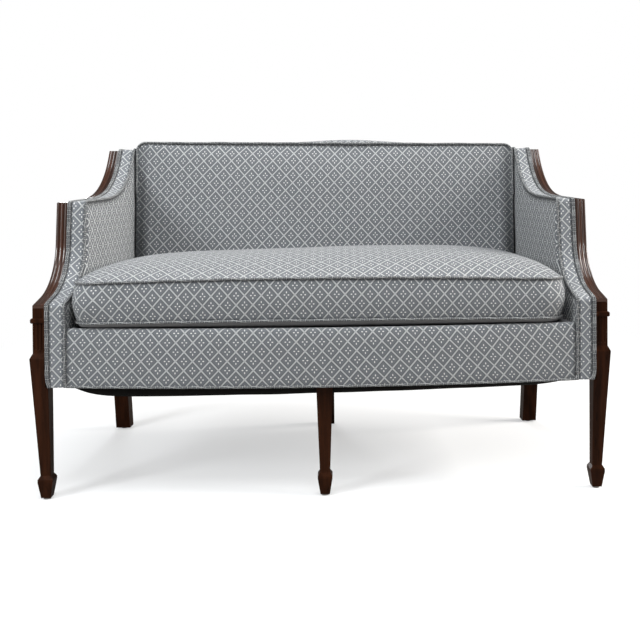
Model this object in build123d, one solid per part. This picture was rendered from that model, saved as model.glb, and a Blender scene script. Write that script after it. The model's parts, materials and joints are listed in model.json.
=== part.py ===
from build123d import *
import math
import os

# A two-seat settee: reeded show-wood arms that sweep down from the back, a bowed front, a tight back
# and one loose boxed cushion. Millimetres. While it is modelled, Y counts from the front of the leg
# blocks towards the back; the last section centres the whole on its own box.

# Plan of the frame
HALF_WIDTH = 644.0          # middle line to the outer face of an arm, at the front
SPLAY = 3.0                 # degrees that each arm turns in towards the back
KNEE_DEPTH = 565.0          # leg block front to the rear face of the back posts at the rails
BOW = 38.0                  # how far the front rail bows out
FIT = 0.3                   # clearance between pieces that come apart

# Front legs
BLOCK_SIDE = 33.0           # square block that shows above the seat rail
BLOCK_BASE = 318.0          # height of the underside of the block
BLOCK_HEIGHT = 112.0
LEG_FLARE = 6.0             # the leg under the block stands out by this
FLARE_HEIGHT = 12.0
COLLAR_UP = 78.0            # from the underside of the block to the collar
COLLAR_HEIGHT = 12.0
COLLAR_OUT = 4.0
LEG_EDGE = 1.2              # rounding of long wood edges
ANKLE_SIDE = 23.0
ANKLE_HEIGHT = 54.0
SPADE_SIDE = 33.0           # widest part of the spade foot
SPADE_BAND = 5.0
SPADE_SHOULDER = 8.0
SPADE_TOE = 21.0
FLUTE_RADIUS = 2.8
FLUTE_DEPTH = 1.8
FLUTE_PITCH = 7.6
FLUTE_COUNT = 3
FLUTE_MARGIN = 9.0          # plain wood below the flutes
REBATE_DEPTH = 8.0          # step in the block that seats the facing strip
MIDDLE_LEG_SIDE = 38.0
MIDDLE_LEG_SETBACK = 28.0   # front of the rail to the front of the middle leg's ankle

# Rear legs and back posts
REAR_LEG_WIDTH = 40.0
POST_DEPTH = 38.0           # front to back at the knee
POST_TOP_DEPTH = 30.0
POST_TOP = 802.0            # height of the top of the back posts
BACK_RAKE = 3.5             # degrees
REAR_LEG_KICK = 40.0        # the rear foot stands behind the knee by this
REAR_FOOT_DEPTH = 34.0
KNEE_RADIUS = 140.0
POST_INSET = 2.0            # outer face of the arm to the outer face of the post
MIDDLE_REAR_LEG_WIDTH = 36.0

# Seat rails and what stiffens them
RAIL_BOTTOM = 262.0
RAIL_HEIGHT = 88.0
FRONT_RAIL_THICK = 26.0
REAR_RAIL_THICK = 26.0
REAR_RAIL_SETBACK = 3.0     # post front to rail front
SIDE_RAIL_THICK = 20.0
STRETCHER_WIDTH = 60.0
STRETCHER_HEIGHT = 40.0
CORNER_BLOCK_LEG = 62.0
CORNER_BLOCK_HEIGHT = 48.0
CORNER_BLOCK_RAISE = 10.0
SCREW_RADIUS = 2.5
SCREW_HEAD_RADIUS = 4.8
SCREW_HEAD_HEIGHT = 3.0
SCREW_LENGTH = 52.0
SCREW_BACK = 34.0           # inner corner of the frame to the screw's head
DOWEL_RADIUS = 5.0
DOWEL_REACH = 20.0          # how far a dowel goes into each of its two pieces
DOWEL_LIFTS = (24.0, 62.0)  # heights above the rail's underside
LEG_BOLT_RADIUS = 6.0
LEG_BOLT_REACH = 26.0
GLIDE_RADIUS = 8.0
GLIDE_THICK = 4.0
GLIDE_PIN_RADIUS = 1.6
GLIDE_PIN_LENGTH = 14.0

# Arms: the line of the arm in side view, from the nose on the leg up to the top of the back
ARM_WOOD = 27.0             # width of the reeded wood
ARM_THICK = 74.0            # wood, facing and inside cover together
ARM_DEPTH = 31.0            # wood, square to its line
ARM_NOSE = 8.0              # height of the post's front edge above the leg
TOE_SLOPE = 16.0            # degrees above level where the post leaves the leg
TOE_LENGTH = 42.0
POST_RADIUS = 132.0
POST_BEND = 68.0
POST_UPRIGHT = 100.0
SWEEP_SLOPE = 2.0
ARM_LEAD = 28.5             # the arm's line is as high as the back post this far before it
RISE_RADIUS = 600.0
RISE_BEND = 8.0
CURL_RADIUS = 225.0
CURL_BEND = 50.0
CURL_SPARE = 40.0           # the arm's line runs on into the back post by this, and is cut level there
REED_COUNT = 3
GROOVE_WIDTH = 2.0
GROOVE_DEPTH = 2.2
STUMP_SETBACK = 40.0
STUMP_LENGTH = 40.0
TACK_RAIL_HEIGHT = 25.0
TACK_RAIL_DROP = 5.0
PANEL_INSET = 2.0           # outside arm panel behind the outer face of the wood
PANEL_THICK = 4.0
BURLAP_THICK = 1.5
FACING_THICK = 5.0
INSIDE_COVER_THICK = 3.0
WELT_RADIUS = 2.6
DOUBLE_WELT_RADIUS = 2.0
WELT_LIFT = 0.05            # a welt lies on its seam with no more than this gap

# Front band
BAND_THICK = 7.0
BAND_COVER_THICK = 2.0
BAND_DROP = 8.0             # the band hangs below the rail by this
BAND_RISE = 34.0            # and stands above it by this
ROLL_ROUND = 9.0            # rounding of the edge roll behind the band
ROLL_GAP = 1.5              # edge roll to the spring clips behind it

# Seat deck
SPRING_COUNT = 6
SPRING_PITCH = 165.0
WIRE_RADIUS = 1.8
SPRING_REACH = 30.0         # straight run between two bends
SPRING_LEGS = 15
CLIP_WIDTH = 16.0
CLIP_LENGTH = 14.0
CLIP_HEIGHT = 7.0
DECK_PAD_THICK = 20.0
DECK_COVER_THICK = 3.0
DECK_GAP = 1.0              # deck edge to the arm's inside cover
DUST_SAG = 72.0
DUST_EDGE = 0.96            # share of the sag that is gone at the sides
DUST_THICK = 1.2
DUST_TACK = 14.0            # dust cover edge to the faces of the rails it is tacked under

# Back
BACK_RAIL_THICK = 24.0
CREST_HEIGHT = 40.0
LOWER_RAIL_RAISE = 133.0    # seat rail underside to the lower back rail
LOWER_RAIL_HEIGHT = 40.0
UPRIGHT_WIDTH = 44.0
WEBBING_THICK = 2.0
BACK_THICK = 64.0
BACK_CROWN = 7.0            # swell of the middle over the sides
BACK_SIDE_CROWN = 3.0
BACK_COVER_THICK = 3.0
BACK_GAP = 1.0
BACK_SEAT_GAP = 2.0         # deck to the underside of the back's padding
BACK_WELT_OVER = 14.0       # height of the back's front edge above the posts
CREST_SWELL = 8.0           # swell of the top edge at its ends
CREST_ARCH = 7.0            # further swell in the middle
BACK_CORNER = 27.0
BACK_WELT_DROP = 36.0       # how far the welt turns down at the ends
OUTSIDE_BACK_THICK = 4.0

# Cushion
CUSHION_GAP = 3.0           # cushion welt to the arms
CUSHION_BACK_GAP = 4.0      # cushion to the back
CUSHION_SETBACK = 4.0       # cushion front behind the band front
CUSHION_CORNER = 38.0
BOXING_BASE = 12.0          # deck to the lower welt
BOXING_HEIGHT = 90.0
BOXING_DRAW = 5.0           # the sides draw in by this between the welts
CROWN_RISE = 62.0
CROWN_REACH = 165.0         # the crown flattens out this far in from the welt
CROWN_CORNER = 30.0         # the corners of the crown grow rounder by this
CROWN_STEPS = ((0.25, 0.52), (0.6, 0.86), (1.0, 1.0))   # shares of reach and rise
BELLY_REACH = 46.0
CUSHION_COVER_THICK = 3.0
ZIP_LENGTH = 660.0
ZIP_HEIGHT = 18.0
SLIDER_WIDTH = 9.0
SLIDER_HEIGHT = 13.0
SLIDER_THICK = 4.0
ZIP_RUN = 0.5               # slider to the tape
ZIP_STOP = 12.0             # slider to the end of the zipper
PULL_WIDTH = 6.0
PULL_LENGTH = 22.0
PULL_THICK = 1.5

# Levels and places that follow
LEG_TOP = BLOCK_BASE + BLOCK_HEIGHT
LEG_INNER = HALF_WIDTH - BLOCK_SIDE
LEG_BACK = BLOCK_SIDE
RAIL_TOP = RAIL_BOTTOM + RAIL_HEIGHT
BAND_BOTTOM = RAIL_BOTTOM - BAND_DROP
BAND_TOP = RAIL_TOP + BAND_RISE
BURLAP_BASE = RAIL_TOP + CLIP_HEIGHT
PAD_BASE = BURLAP_BASE + BURLAP_THICK
COVER_BASE = PAD_BASE + DECK_PAD_THICK
DECK_TOP = COVER_BASE + DECK_COVER_THICK
SIDE_RAIL_INSET = ARM_WOOD - SIDE_RAIL_THICK
POST_INNER = POST_INSET + REAR_LEG_WIDTH
RAIL_END = REBATE_DEPTH
ROLL_DEPTH = FRONT_RAIL_THICK - CLIP_LENGTH - ROLL_GAP
RAIL_CROWN = RAIL_END - BOW
BOW_RADIUS = (LEG_INNER ** 2 + BOW ** 2) / (2 * BOW)
BOW_CENTRE = RAIL_CROWN + BOW_RADIUS
WEBBING_FRONT = BACK_RAIL_THICK + WEBBING_THICK
COS_SPLAY = math.cos(math.radians(SPLAY))
TAN_SPLAY = math.tan(math.radians(SPLAY))
TAN_RAKE = math.tan(math.radians(BACK_RAKE))
COS_RAKE = math.cos(math.radians(BACK_RAKE))
POST_FRONT_TOP = KNEE_DEPTH + (POST_TOP - RAIL_BOTTOM) * TAN_RAKE - POST_TOP_DEPTH
BIG = 3 * HALF_WIDTH        # larger than the object, for trimming

SIDE = Plane(
    origin=(HALF_WIDTH, 0, 0),
    x_dir=(-math.sin(math.radians(SPLAY)), COS_SPLAY, 0),
    z_dir=(COS_SPLAY, math.sin(math.radians(SPLAY)), 0),
).location
POST_REAR = KNEE_DEPTH * COS_SPLAY - POST_INSET * math.sin(math.radians(SPLAY))
BACK = Pos(0, POST_REAR, RAIL_BOTTOM) * Rot(-BACK_RAKE, 0, 0)
STATIONS = (-1, -0.5, 0, 0.5, 1)   # places across the width where soft forms are cut

pieces = {}


def box(x1, x2, y1, y2, z1, z2):
    """A block between two corners."""
    centre = Pos((x1 + x2) / 2, (y1 + y2) / 2, (z1 + z2) / 2)
    return centre * Box(x2 - x1, y2 - y1, z2 - z1)


def square(x1, x2, y1, y2, z):
    """A level rectangle at height z."""
    return Pos((x1 + x2) / 2, (y1 + y2) / 2, z) * Rectangle(x2 - x1, y2 - y1)


def rod(start, end, radius):
    """A round bar between two points."""
    axis = Vector(*end) - Vector(*start)
    return Plane(origin=start, z_dir=axis.normalized()).location * Cylinder(
        radius, axis.length, align=(Align.CENTER, Align.CENTER, Align.MIN)
    )


def add_pair(name, *solids):
    """Keep the solids of a right-hand piece and their mirror images."""
    pieces["right_" + name] = solids
    pieces["left_" + name] = [mirror(solid, about=Plane.YZ) for solid in solids]


def heading(angle):
    """Unit vector at an angle in degrees."""
    return Vector(math.cos(math.radians(angle)), math.sin(math.radians(angle)))


def walk(start, angle, steps, drop):
    """Edges of a path of runs (length, 0) and bends (radius, turn), moved to its right by drop."""
    edges = []
    point = Vector(*start) + heading(angle - 90) * drop
    for size, turn in steps:
        if turn == 0:
            end = point + heading(angle) * size
            edges.append(Line(point, end))
        else:
            spoke = size + drop
            centre = point + heading(angle + 90) * spoke
            middle = centre + heading(angle + turn / 2 - 90) * spoke
            end = centre + heading(angle + turn - 90) * spoke
            edges.append(ThreePointArc(point, middle, end))
            angle += turn
        point = end
    return edges


POST_START = (0, LEG_TOP + ARM_NOSE)
POST_STEPS = [(TOE_LENGTH, 0), (POST_RADIUS, POST_BEND), (POST_UPRIGHT, 0)]
POST_LEAN = TOE_SLOPE + POST_BEND
ARM_STEP = tuple(walk(POST_START, TOE_SLOPE, POST_STEPS, 0)[-1] @ 1)[:2]


def sweep_runs():
    """Lengths of the upper sweep's level and last runs, which bring its line to the top of a post."""
    bends = walk(ARM_STEP, SWEEP_SLOPE, [(RISE_RADIUS, RISE_BEND), (CURL_RADIUS, CURL_BEND)], 0)
    rest = Vector(POST_FRONT_TOP - ARM_LEAD, POST_TOP) - bends[-1] @ 1
    level, last = heading(SWEEP_SLOPE), heading(SWEEP_SLOPE + RISE_BEND + CURL_BEND)
    apart = level.X * last.Y - level.Y * last.X
    return (rest.X * last.Y - rest.Y * last.X) / apart, (level.X * rest.Y - level.Y * rest.X) / apart


SWEEP_LEVEL, CURL_RUN = sweep_runs()
SWEEP_STEPS = [(SWEEP_LEVEL, 0), (RISE_RADIUS, RISE_BEND), (CURL_RADIUS, CURL_BEND),
               (CURL_RUN + CURL_SPARE, 0)]


def arm_corner(drop):
    """Where the two lines of the arm meet, both moved in by drop."""
    step = Vector(*ARM_STEP)
    low = step + heading(POST_LEAN - 90) * drop
    high = step + heading(SWEEP_SLOPE - 90) * drop
    along, across = heading(POST_LEAN), heading(SWEEP_SLOPE)
    gap = high - low
    run = (gap.X * across.Y - gap.Y * across.X) / (along.X * across.Y - along.Y * across.X)
    return low + along * run


def post_line(drop):
    """The lower sweep, from the leg to the arm's corner."""
    edges = walk(POST_START, TOE_SLOPE, POST_STEPS, drop)
    edges[-1] = Line(edges[-1] @ 0, arm_corner(drop))
    return edges


def sweep_line(drop):
    """The upper sweep, from the arm's corner to the back post."""
    edges = walk(ARM_STEP, SWEEP_SLOPE, SWEEP_STEPS, drop)
    edges[0] = Line(arm_corner(drop), edges[0] @ 1)
    return edges


def band(line, outer, inner):
    """The strip between one line of the arm and the same line further in."""
    first, second = line(outer), line(inner)
    ends = [Line(first[0] @ 0, second[0] @ 0), Line(first[-1] @ 1, second[-1] @ 1)]
    return make_face(first + second + ends)


def under_arm(drop, bottom):
    """The whole area under the arm's line, down to a level."""
    edges = post_line(drop) + sweep_line(drop)
    toe, top = edges[0] @ 0, edges[-1] @ 1
    return make_face(edges + [Polyline(tuple(toe), (toe.X, bottom), (top.X, bottom), tuple(top))])


def slab(face, near, far):
    """Area in an arm's side view made solid between two distances in from its outer face."""
    return SIDE * Pos(0, 0, -far) * extrude(face, far - near, dir=(0, 0, 1))


def side_box(near, far, y1, y2, z1, z2):
    """A block square to the arm."""
    return SIDE * box(y1, y2, z1, z2, -far, -near)


def arm_inside(y, far=ARM_THICK):
    """Distance from the middle line to a line along the arm, at depth y."""
    return HALF_WIDTH - far / COS_SPLAY - y * TAN_SPLAY


def bowed(front, thick, half, z1, z2):
    """A bowed slab: front is how far it stands before the rail's front face."""
    outer = Circle(BOW_RADIUS + front)
    inner = Circle(BOW_RADIUS + front - thick)
    ring = Pos(0, BOW_CENTRE, z1) * extrude(outer - inner, z2 - z1)
    return ring & box(-half, half, -BIG, BOW_CENTRE, z1, z2)


# Legs
def spade_foot(x, y):
    """Ankle shoulder, band and tapering toe, standing on its glide."""
    def level(side, z):
        half = side / 2
        return square(x - half, x + half, y - half, y + half, z)
    band_top = ANKLE_HEIGHT - SPADE_SHOULDER
    band_low = band_top - SPADE_BAND
    shoulder = loft([level(SPADE_SIDE, band_top), level(ANKLE_SIDE, ANKLE_HEIGHT)], ruled=True)
    toe = loft([level(SPADE_TOE, GLIDE_THICK), level(SPADE_SIDE, band_low)], ruled=True)
    half = SPADE_SIDE / 2
    middle = box(x - half, x + half, y - half, y + half, band_low, band_top)
    middle = fillet(middle.edges().filter_by(Axis.Z), LEG_EDGE)
    return shoulder + middle + toe


def glide(x, y):
    """A disc with a pin that is knocked into the foot."""
    disc = Pos(x, y, 0) * Cylinder(GLIDE_RADIUS, GLIDE_THICK, align=(Align.CENTER, Align.CENTER, Align.MIN))
    return disc + rod((x, y, GLIDE_THICK), (x, y, GLIDE_THICK + GLIDE_PIN_LENGTH), GLIDE_PIN_RADIUS)


def rounded(solid):
    """Soften the upright edges of a tapering leg."""
    edges = [edge for edge in solid.edges() if edge.bounding_box().size.Z > LEG_EDGE]
    return fillet(edges, LEG_EDGE)


def front_leg():
    """Right front leg: tapering leg on a spade foot, under a fluted block with a collar."""
    low = square(LEG_INNER, LEG_INNER + ANKLE_SIDE, LEG_BACK - ANKLE_SIDE, LEG_BACK, ANKLE_HEIGHT)
    high = square(LEG_INNER, HALF_WIDTH + LEG_FLARE, -LEG_FLARE, LEG_BACK, BLOCK_BASE)
    neck = square(LEG_INNER, HALF_WIDTH, 0, LEG_BACK, BLOCK_BASE + FLARE_HEIGHT)
    leg = rounded(loft([low, high], ruled=True)) + loft([high, neck], ruled=True)
    leg += box(LEG_INNER, HALF_WIDTH, 0, LEG_BACK, BLOCK_BASE + FLARE_HEIGHT, LEG_TOP)
    collar_low = BLOCK_BASE + COLLAR_UP
    collar = box(LEG_INNER, HALF_WIDTH + COLLAR_OUT, -COLLAR_OUT, LEG_BACK,
                 collar_low, collar_low + COLLAR_HEIGHT)
    rims = collar.edges().group_by(Axis.Y)[0].filter_by(Axis.X)
    rims += collar.edges().group_by(Axis.X)[-1].filter_by(Axis.Y)
    leg += fillet(rims, COLLAR_OUT)
    wood_middle = HALF_WIDTH - ARM_WOOD / 2
    flute_low = BLOCK_BASE + FLARE_HEIGHT + FLUTE_MARGIN
    for index in range(FLUTE_COUNT):
        x = wood_middle + (index - (FLUTE_COUNT - 1) / 2) * FLUTE_PITCH
        y = FLUTE_DEPTH - FLUTE_RADIUS
        leg -= rod((x, y, flute_low), (x, y, collar_low), FLUTE_RADIUS)
        leg -= Pos(x, y, flute_low) * Sphere(FLUTE_RADIUS)
    leg -= box(LEG_INNER - FIT, HALF_WIDTH - ARM_WOOD, -BIG, REBATE_DEPTH, BAND_BOTTOM, LEG_TOP + FIT)
    x, y = LEG_INNER + ANKLE_SIDE / 2, LEG_BACK - ANKLE_SIDE / 2
    return leg + spade_foot(x, y), (x, y)


def front_middle_leg():
    """Evenly tapering leg under the middle of the bowed rail."""
    y = RAIL_CROWN + MIDDLE_LEG_SETBACK + ANKLE_SIDE / 2
    thin, wide = ANKLE_SIDE / 2, MIDDLE_LEG_SIDE / 2
    low = square(-thin, thin, y - thin, y + thin, ANKLE_HEIGHT)
    high = square(-wide, wide, y - wide, y + wide, RAIL_BOTTOM)
    return rounded(loft([low, high], ruled=True)) + spade_foot(0, y), (0, y)


def rear_profile(top_points):
    """Side view of a rear leg, with what stands on it."""
    foot = KNEE_DEPTH + REAR_LEG_KICK
    points = top_points + [(foot, GLIDE_THICK), (foot - REAR_FOOT_DEPTH, GLIDE_THICK)]
    return make_face(Polyline(*points, close=True))


def rear_post():
    """Right rear leg and back post in one piece, bent at the seat rail."""
    knee = [(KNEE_DEPTH - POST_DEPTH, RAIL_BOTTOM), (KNEE_DEPTH, RAIL_BOTTOM)]
    top = [(POST_FRONT_TOP, POST_TOP), (POST_FRONT_TOP + POST_TOP_DEPTH, POST_TOP)]
    face = rear_profile([knee[0], *top, knee[1]])
    bends = [v for v in face.vertices() if abs(v.Y - RAIL_BOTTOM) < FIT]
    return slab(fillet(bends, KNEE_RADIUS), POST_INSET, POST_INNER)


def rear_middle_leg():
    """Raked leg under the middle of the rear rail."""
    front = KNEE_DEPTH - POST_DEPTH
    face = rear_profile([(front, RAIL_BOTTOM), (KNEE_DEPTH, RAIL_BOTTOM)])
    half = MIDDLE_REAR_LEG_WIDTH / 2
    return Plane.YZ.location * Pos(0, 0, -half) * extrude(face, 2 * half, dir=(0, 0, 1))


corner_leg, corner_foot = front_leg()
middle_leg, middle_foot = front_middle_leg()
back_post = rear_post()
rear_leg = rear_middle_leg()
rear_foot_y = KNEE_DEPTH + REAR_LEG_KICK - REAR_FOOT_DEPTH / 2
rear_foot = SIDE * Pos(rear_foot_y, 0, -(POST_INSET + REAR_LEG_WIDTH / 2))
rear_foot_place = (rear_foot.position.X, rear_foot.position.Y)

glides = [glide(*corner_foot), glide(*rear_foot_place)]
glides += [mirror(g, about=Plane.YZ) for g in glides]
glides += [glide(*middle_foot), glide(0, rear_foot_y)]
corner_leg -= glides[0]
back_post -= glides[1]
middle_leg -= glides[4]
rear_leg -= glides[5]

# Seat rails
front_rail = bowed(0, FRONT_RAIL_THICK, LEG_INNER, RAIL_BOTTOM, RAIL_TOP)
side_rail = side_box(SIDE_RAIL_INSET, ARM_WOOD, 0, KNEE_DEPTH, RAIL_BOTTOM, RAIL_TOP)
side_rail = side_rail - corner_leg - back_post - box(-BIG, BIG, -BIG, LEG_BACK, 0, BIG)
side_rail = side_rail.solids().sort_by(SortBy.VOLUME)[-1]
rear_rail_front = KNEE_DEPTH - POST_DEPTH + REAR_RAIL_SETBACK
rear_rail_back = rear_rail_front + REAR_RAIL_THICK
rear_rail = box(-HALF_WIDTH, HALF_WIDTH, rear_rail_front, rear_rail_back, RAIL_BOTTOM, RAIL_TOP)


def between_posts(solid):
    """Trim a cross piece to the inner faces of the back posts."""
    trim = SIDE * box(-BIG, BIG, -BIG, BIG, -POST_INNER, BIG)
    return solid - trim - mirror(trim, about=Plane.YZ)


rear_rail = between_posts(rear_rail)
stretcher = box(-STRETCHER_WIDTH / 2, STRETCHER_WIDTH / 2, RAIL_CROWN, rear_rail_front,
                RAIL_BOTTOM, RAIL_BOTTOM + STRETCHER_HEIGHT) - front_rail
stretcher = stretcher.solids().sort_by(SortBy.VOLUME)[-1]

# Arms
post_wood = slab(band(post_line, 0, ARM_DEPTH), 0, ARM_WOOD)
post_wood &= box(0, BIG, 0, BIG, LEG_TOP, BIG)
post_wood += side_box(SIDE_RAIL_INSET, ARM_WOOD, STUMP_SETBACK, STUMP_SETBACK + STUMP_LENGTH,
                      RAIL_TOP, LEG_TOP + ARM_NOSE)
sweep_wood = slab(band(sweep_line, 0, ARM_DEPTH), 0, ARM_WOOD)
sweep_wood = sweep_wood - back_post - box(-BIG, BIG, -BIG, BIG, POST_TOP, BIG)
sweep_wood = sweep_wood.solids().sort_by(SortBy.VOLUME)[-1]
for index in range(1, REED_COUNT):
    middle = index * ARM_WOOD / REED_COUNT
    edges = (middle - GROOVE_WIDTH / 2, middle + GROOVE_WIDTH / 2)
    post_wood -= slab(band(post_line, -FIT, GROOVE_DEPTH), *edges)
    sweep_wood -= slab(band(sweep_line, -FIT, GROOVE_DEPTH), *edges)
tack_top = LEG_TOP - TACK_RAIL_DROP
tack_rail = side_box(SIDE_RAIL_INSET, ARM_WOOD, STUMP_SETBACK + STUMP_LENGTH, KNEE_DEPTH,
                     tack_top - TACK_RAIL_HEIGHT, tack_top) - back_post
tack_rail = tack_rail.solids().sort_by(SortBy.VOLUME)[-1]

post_front = KNEE_DEPTH - POST_DEPTH


def before_post(solid):
    """Trim an arm layer to the back post, or to the webbing beside it, and level with the post's top."""
    points = [(post_front, RAIL_BOTTOM), (POST_FRONT_TOP, POST_TOP), (POST_FRONT_TOP, BIG), (BIG, BIG),
              (BIG, RAIL_BOTTOM)]
    behind = slab(make_face(Polyline(*points, close=True)), -BIG, POST_INNER)
    behind += BACK * box(-BIG, BIG, -WEBBING_FRONT, BIG, -BIG, BIG)
    kept = solid - behind - box(-BIG, BIG, -BIG, BIG, POST_TOP, BIG)
    return kept.solids().sort_by(SortBy.VOLUME)[-1]


outside_panel = slab(under_arm(ARM_DEPTH / 2, BAND_BOTTOM), PANEL_INSET, PANEL_INSET + PANEL_THICK)
outside_panel = outside_panel - post_wood - sweep_wood - back_post - corner_leg
outside_panel = before_post(outside_panel - box(-BIG, BIG, -BIG, LEG_BACK, 0, LEG_TOP))

burlap_far = ARM_WOOD + BURLAP_THICK
cover_near = ARM_THICK - INSIDE_COVER_THICK
arm_burlap = before_post(slab(under_arm(FACING_THICK, RAIL_TOP), ARM_WOOD, burlap_far)
                         - box(-BIG, BIG, -BIG, LEG_BACK, 0, BIG))
arm_pad = slab(under_arm(FACING_THICK, RAIL_TOP), burlap_far, cover_near)
arm_pad = before_post(arm_pad - box(-BIG, BIG, -BIG, REBATE_DEPTH, 0, LEG_TOP + ARM_NOSE)
                      - box(LEG_INNER, BIG, -BIG, LEG_BACK, 0, LEG_TOP) - front_rail)
inside_cover = before_post(slab(under_arm(0, RAIL_TOP), cover_near, ARM_THICK)
                           - box(-BIG, BIG, -BIG, REBATE_DEPTH, 0, LEG_TOP + ARM_NOSE))
facing = slab(band(post_line, 0, FACING_THICK), ARM_WOOD, cover_near)
facing += slab(band(sweep_line, 0, FACING_THICK), ARM_WOOD, cover_near)
facing = before_post(facing)
facing_front = side_box(ARM_WOOD, ARM_THICK, 0, LEG_BACK, BAND_BOTTOM, LEG_TOP + ARM_NOSE)
facing_front &= box(0, BIG, 0, REBATE_DEPTH, 0, BIG)
facing = facing + facing_front - inside_cover - arm_pad - front_rail


def arm_welt(radius, far):
    """A cord along the arm's edge: up the front, along both sweeps, to the back post."""
    lift = -(radius + WELT_LIFT)
    lower = post_line(lift)
    toe = lower[0] @ 0
    bend = (lift, toe.Y - (toe.X - lift) * math.tan(math.radians(TOE_SLOPE)))
    lower[0] = Line(bend, lower[0] @ 1)
    path = Wire([Line((lift, BAND_BOTTOM), bend)] + lower + sweep_line(lift))
    section = Plane(origin=path @ 0, z_dir=path % 0) * Circle(radius)
    cord = sweep(section, path=path, transition=Transition.RIGHT)
    return before_post(SIDE * Pos(0, 0, -far) * cord)


single_welt = arm_welt(WELT_RADIUS, ARM_THICK - WELT_RADIUS)
double_welts = [arm_welt(DOUBLE_WELT_RADIUS, ARM_WOOD + (2 * n + 1) * (DOUBLE_WELT_RADIUS + WELT_LIFT))
                for n in range(2)]

# Front band and deck
band_half = arm_inside(0) - FIT
band_cover = bowed(BAND_THICK, BAND_COVER_THICK, band_half, BAND_BOTTOM, BAND_TOP)
band_pad = bowed(BAND_THICK - BAND_COVER_THICK, BAND_THICK - BAND_COVER_THICK, band_half,
                 BAND_BOTTOM, BAND_TOP)
edge_roll = bowed(0, ROLL_DEPTH, arm_inside(LEG_BACK) - DECK_GAP, RAIL_TOP, BAND_TOP)
roll_rim = edge_roll.edges().group_by(Axis.Z)[-1].sort_by(Axis.Y)[-1]
edge_roll = fillet(roll_rim, min(ROLL_ROUND, ROLL_DEPTH - FIT))

welt_bow = BOW_RADIUS + BAND_THICK + WELT_RADIUS + WELT_LIFT
welt_angle = math.degrees(math.asin(band_half / welt_bow))
welt_path = Pos(0, BOW_CENTRE, BAND_BOTTOM + WELT_RADIUS) * CenterArc(
    (0, 0), welt_bow, -90 - welt_angle, 2 * welt_angle
)
band_welt = sweep(Plane(origin=welt_path @ 0, z_dir=welt_path % 0) * Circle(WELT_RADIUS), path=welt_path)


def deck_layer(z1, z2):
    """A sheet over the seat between the arms, from the edge roll back over the rear rail."""
    front, back = -BOW, rear_rail_back
    points = [(arm_inside(front) - DECK_GAP, front), (arm_inside(back) - DECK_GAP, back)]
    points += [(-x, y) for x, y in reversed(points)]
    sheet = Pos(0, 0, z1) * extrude(make_face(Polyline(*points, close=True)), z2 - z1)
    hidden = bowed(BAND_THICK, BAND_THICK + ROLL_DEPTH, HALF_WIDTH, z1 - FIT, z2 + FIT)
    return (sheet - hidden).solids().sort_by(SortBy.VOLUME)[-1]


deck_burlap = deck_layer(BURLAP_BASE, PAD_BASE)
deck_pad = deck_layer(PAD_BASE, COVER_BASE)
deck_cover = deck_layer(COVER_BASE, DECK_TOP)


def rail_front(x):
    """Depth of the front rail's front face at a distance from the middle."""
    return BOW_CENTRE - math.sqrt(BOW_RADIUS ** 2 - x ** 2)


wire_height = RAIL_TOP + CLIP_HEIGHT / 2


def zigzag_spring(x):
    """One wire bent to and fro from the front rail to the rear rail, and the clips at its ends."""
    start = rail_front(x) + FRONT_RAIL_THICK - CLIP_LENGTH / 2
    end = rear_rail_front + REAR_RAIL_THICK / 2
    bend = (end - start) / (2 * (SPRING_LEGS - 1))
    half = SPRING_REACH / 2
    edges = []
    for leg in range(SPRING_LEGS):
        y = start + 2 * bend * leg
        way = 1 if leg % 2 == 0 else -1
        edges.append(Line((x - way * half, y), (x + way * half, y)))
        if leg < SPRING_LEGS - 1:
            out = x + way * half
            edges.append(ThreePointArc((out, y), (out + way * bend, y + bend), (out, y + 2 * bend)))
    path = Pos(0, 0, wire_height) * Wire(edges)
    wire = sweep(Plane(origin=path @ 0, z_dir=path % 0) * Circle(WIRE_RADIUS), path=path)
    clips = []
    for y in (start, end):
        clip = box(x - CLIP_WIDTH / 2, x + CLIP_WIDTH / 2, y - CLIP_LENGTH / 2, y + CLIP_LENGTH / 2,
                   RAIL_TOP, BURLAP_BASE)
        bore = rod((x - CLIP_WIDTH, y, wire_height), (x + CLIP_WIDTH, y, wire_height),
                   WIRE_RADIUS + WELT_LIFT)
        clips.append(clip - bore)
    return wire, clips


springs, spring_clips = [], []
for index in range(SPRING_COUNT):
    spring, clips = zigzag_spring((index - (SPRING_COUNT - 1) / 2) * SPRING_PITCH)
    springs.append(spring)
    spring_clips += clips


def dust_section(x, share):
    """The dust cover cut across at one place: two sagging arcs a cloth's thickness apart."""
    front = rail_front(x) + DUST_TACK
    back = rear_rail_front + DUST_TACK
    top, middle = RAIL_BOTTOM, (front + back) / 2
    sag = DUST_SAG * share
    upper = ThreePointArc((x, front, top), (x, middle, top - sag), (x, back, top))
    under = top - DUST_THICK
    lower = ThreePointArc((x, front, under), (x, middle, under - sag), (x, back, under))
    ends = [Line((x, front, top), (x, front, under)), Line((x, back, top), (x, back, under))]
    return make_face([upper, lower] + ends)


dust_half = arm_inside(rear_rail_front, ARM_WOOD)
dust_cover = loft([dust_section(share * dust_half, 1 - DUST_EDGE * share ** 2)
                   for share in STATIONS])
for leg in (middle_leg, rear_leg, corner_leg, back_post):
    dust_cover -= leg
    dust_cover -= mirror(leg, about=Plane.YZ)


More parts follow.
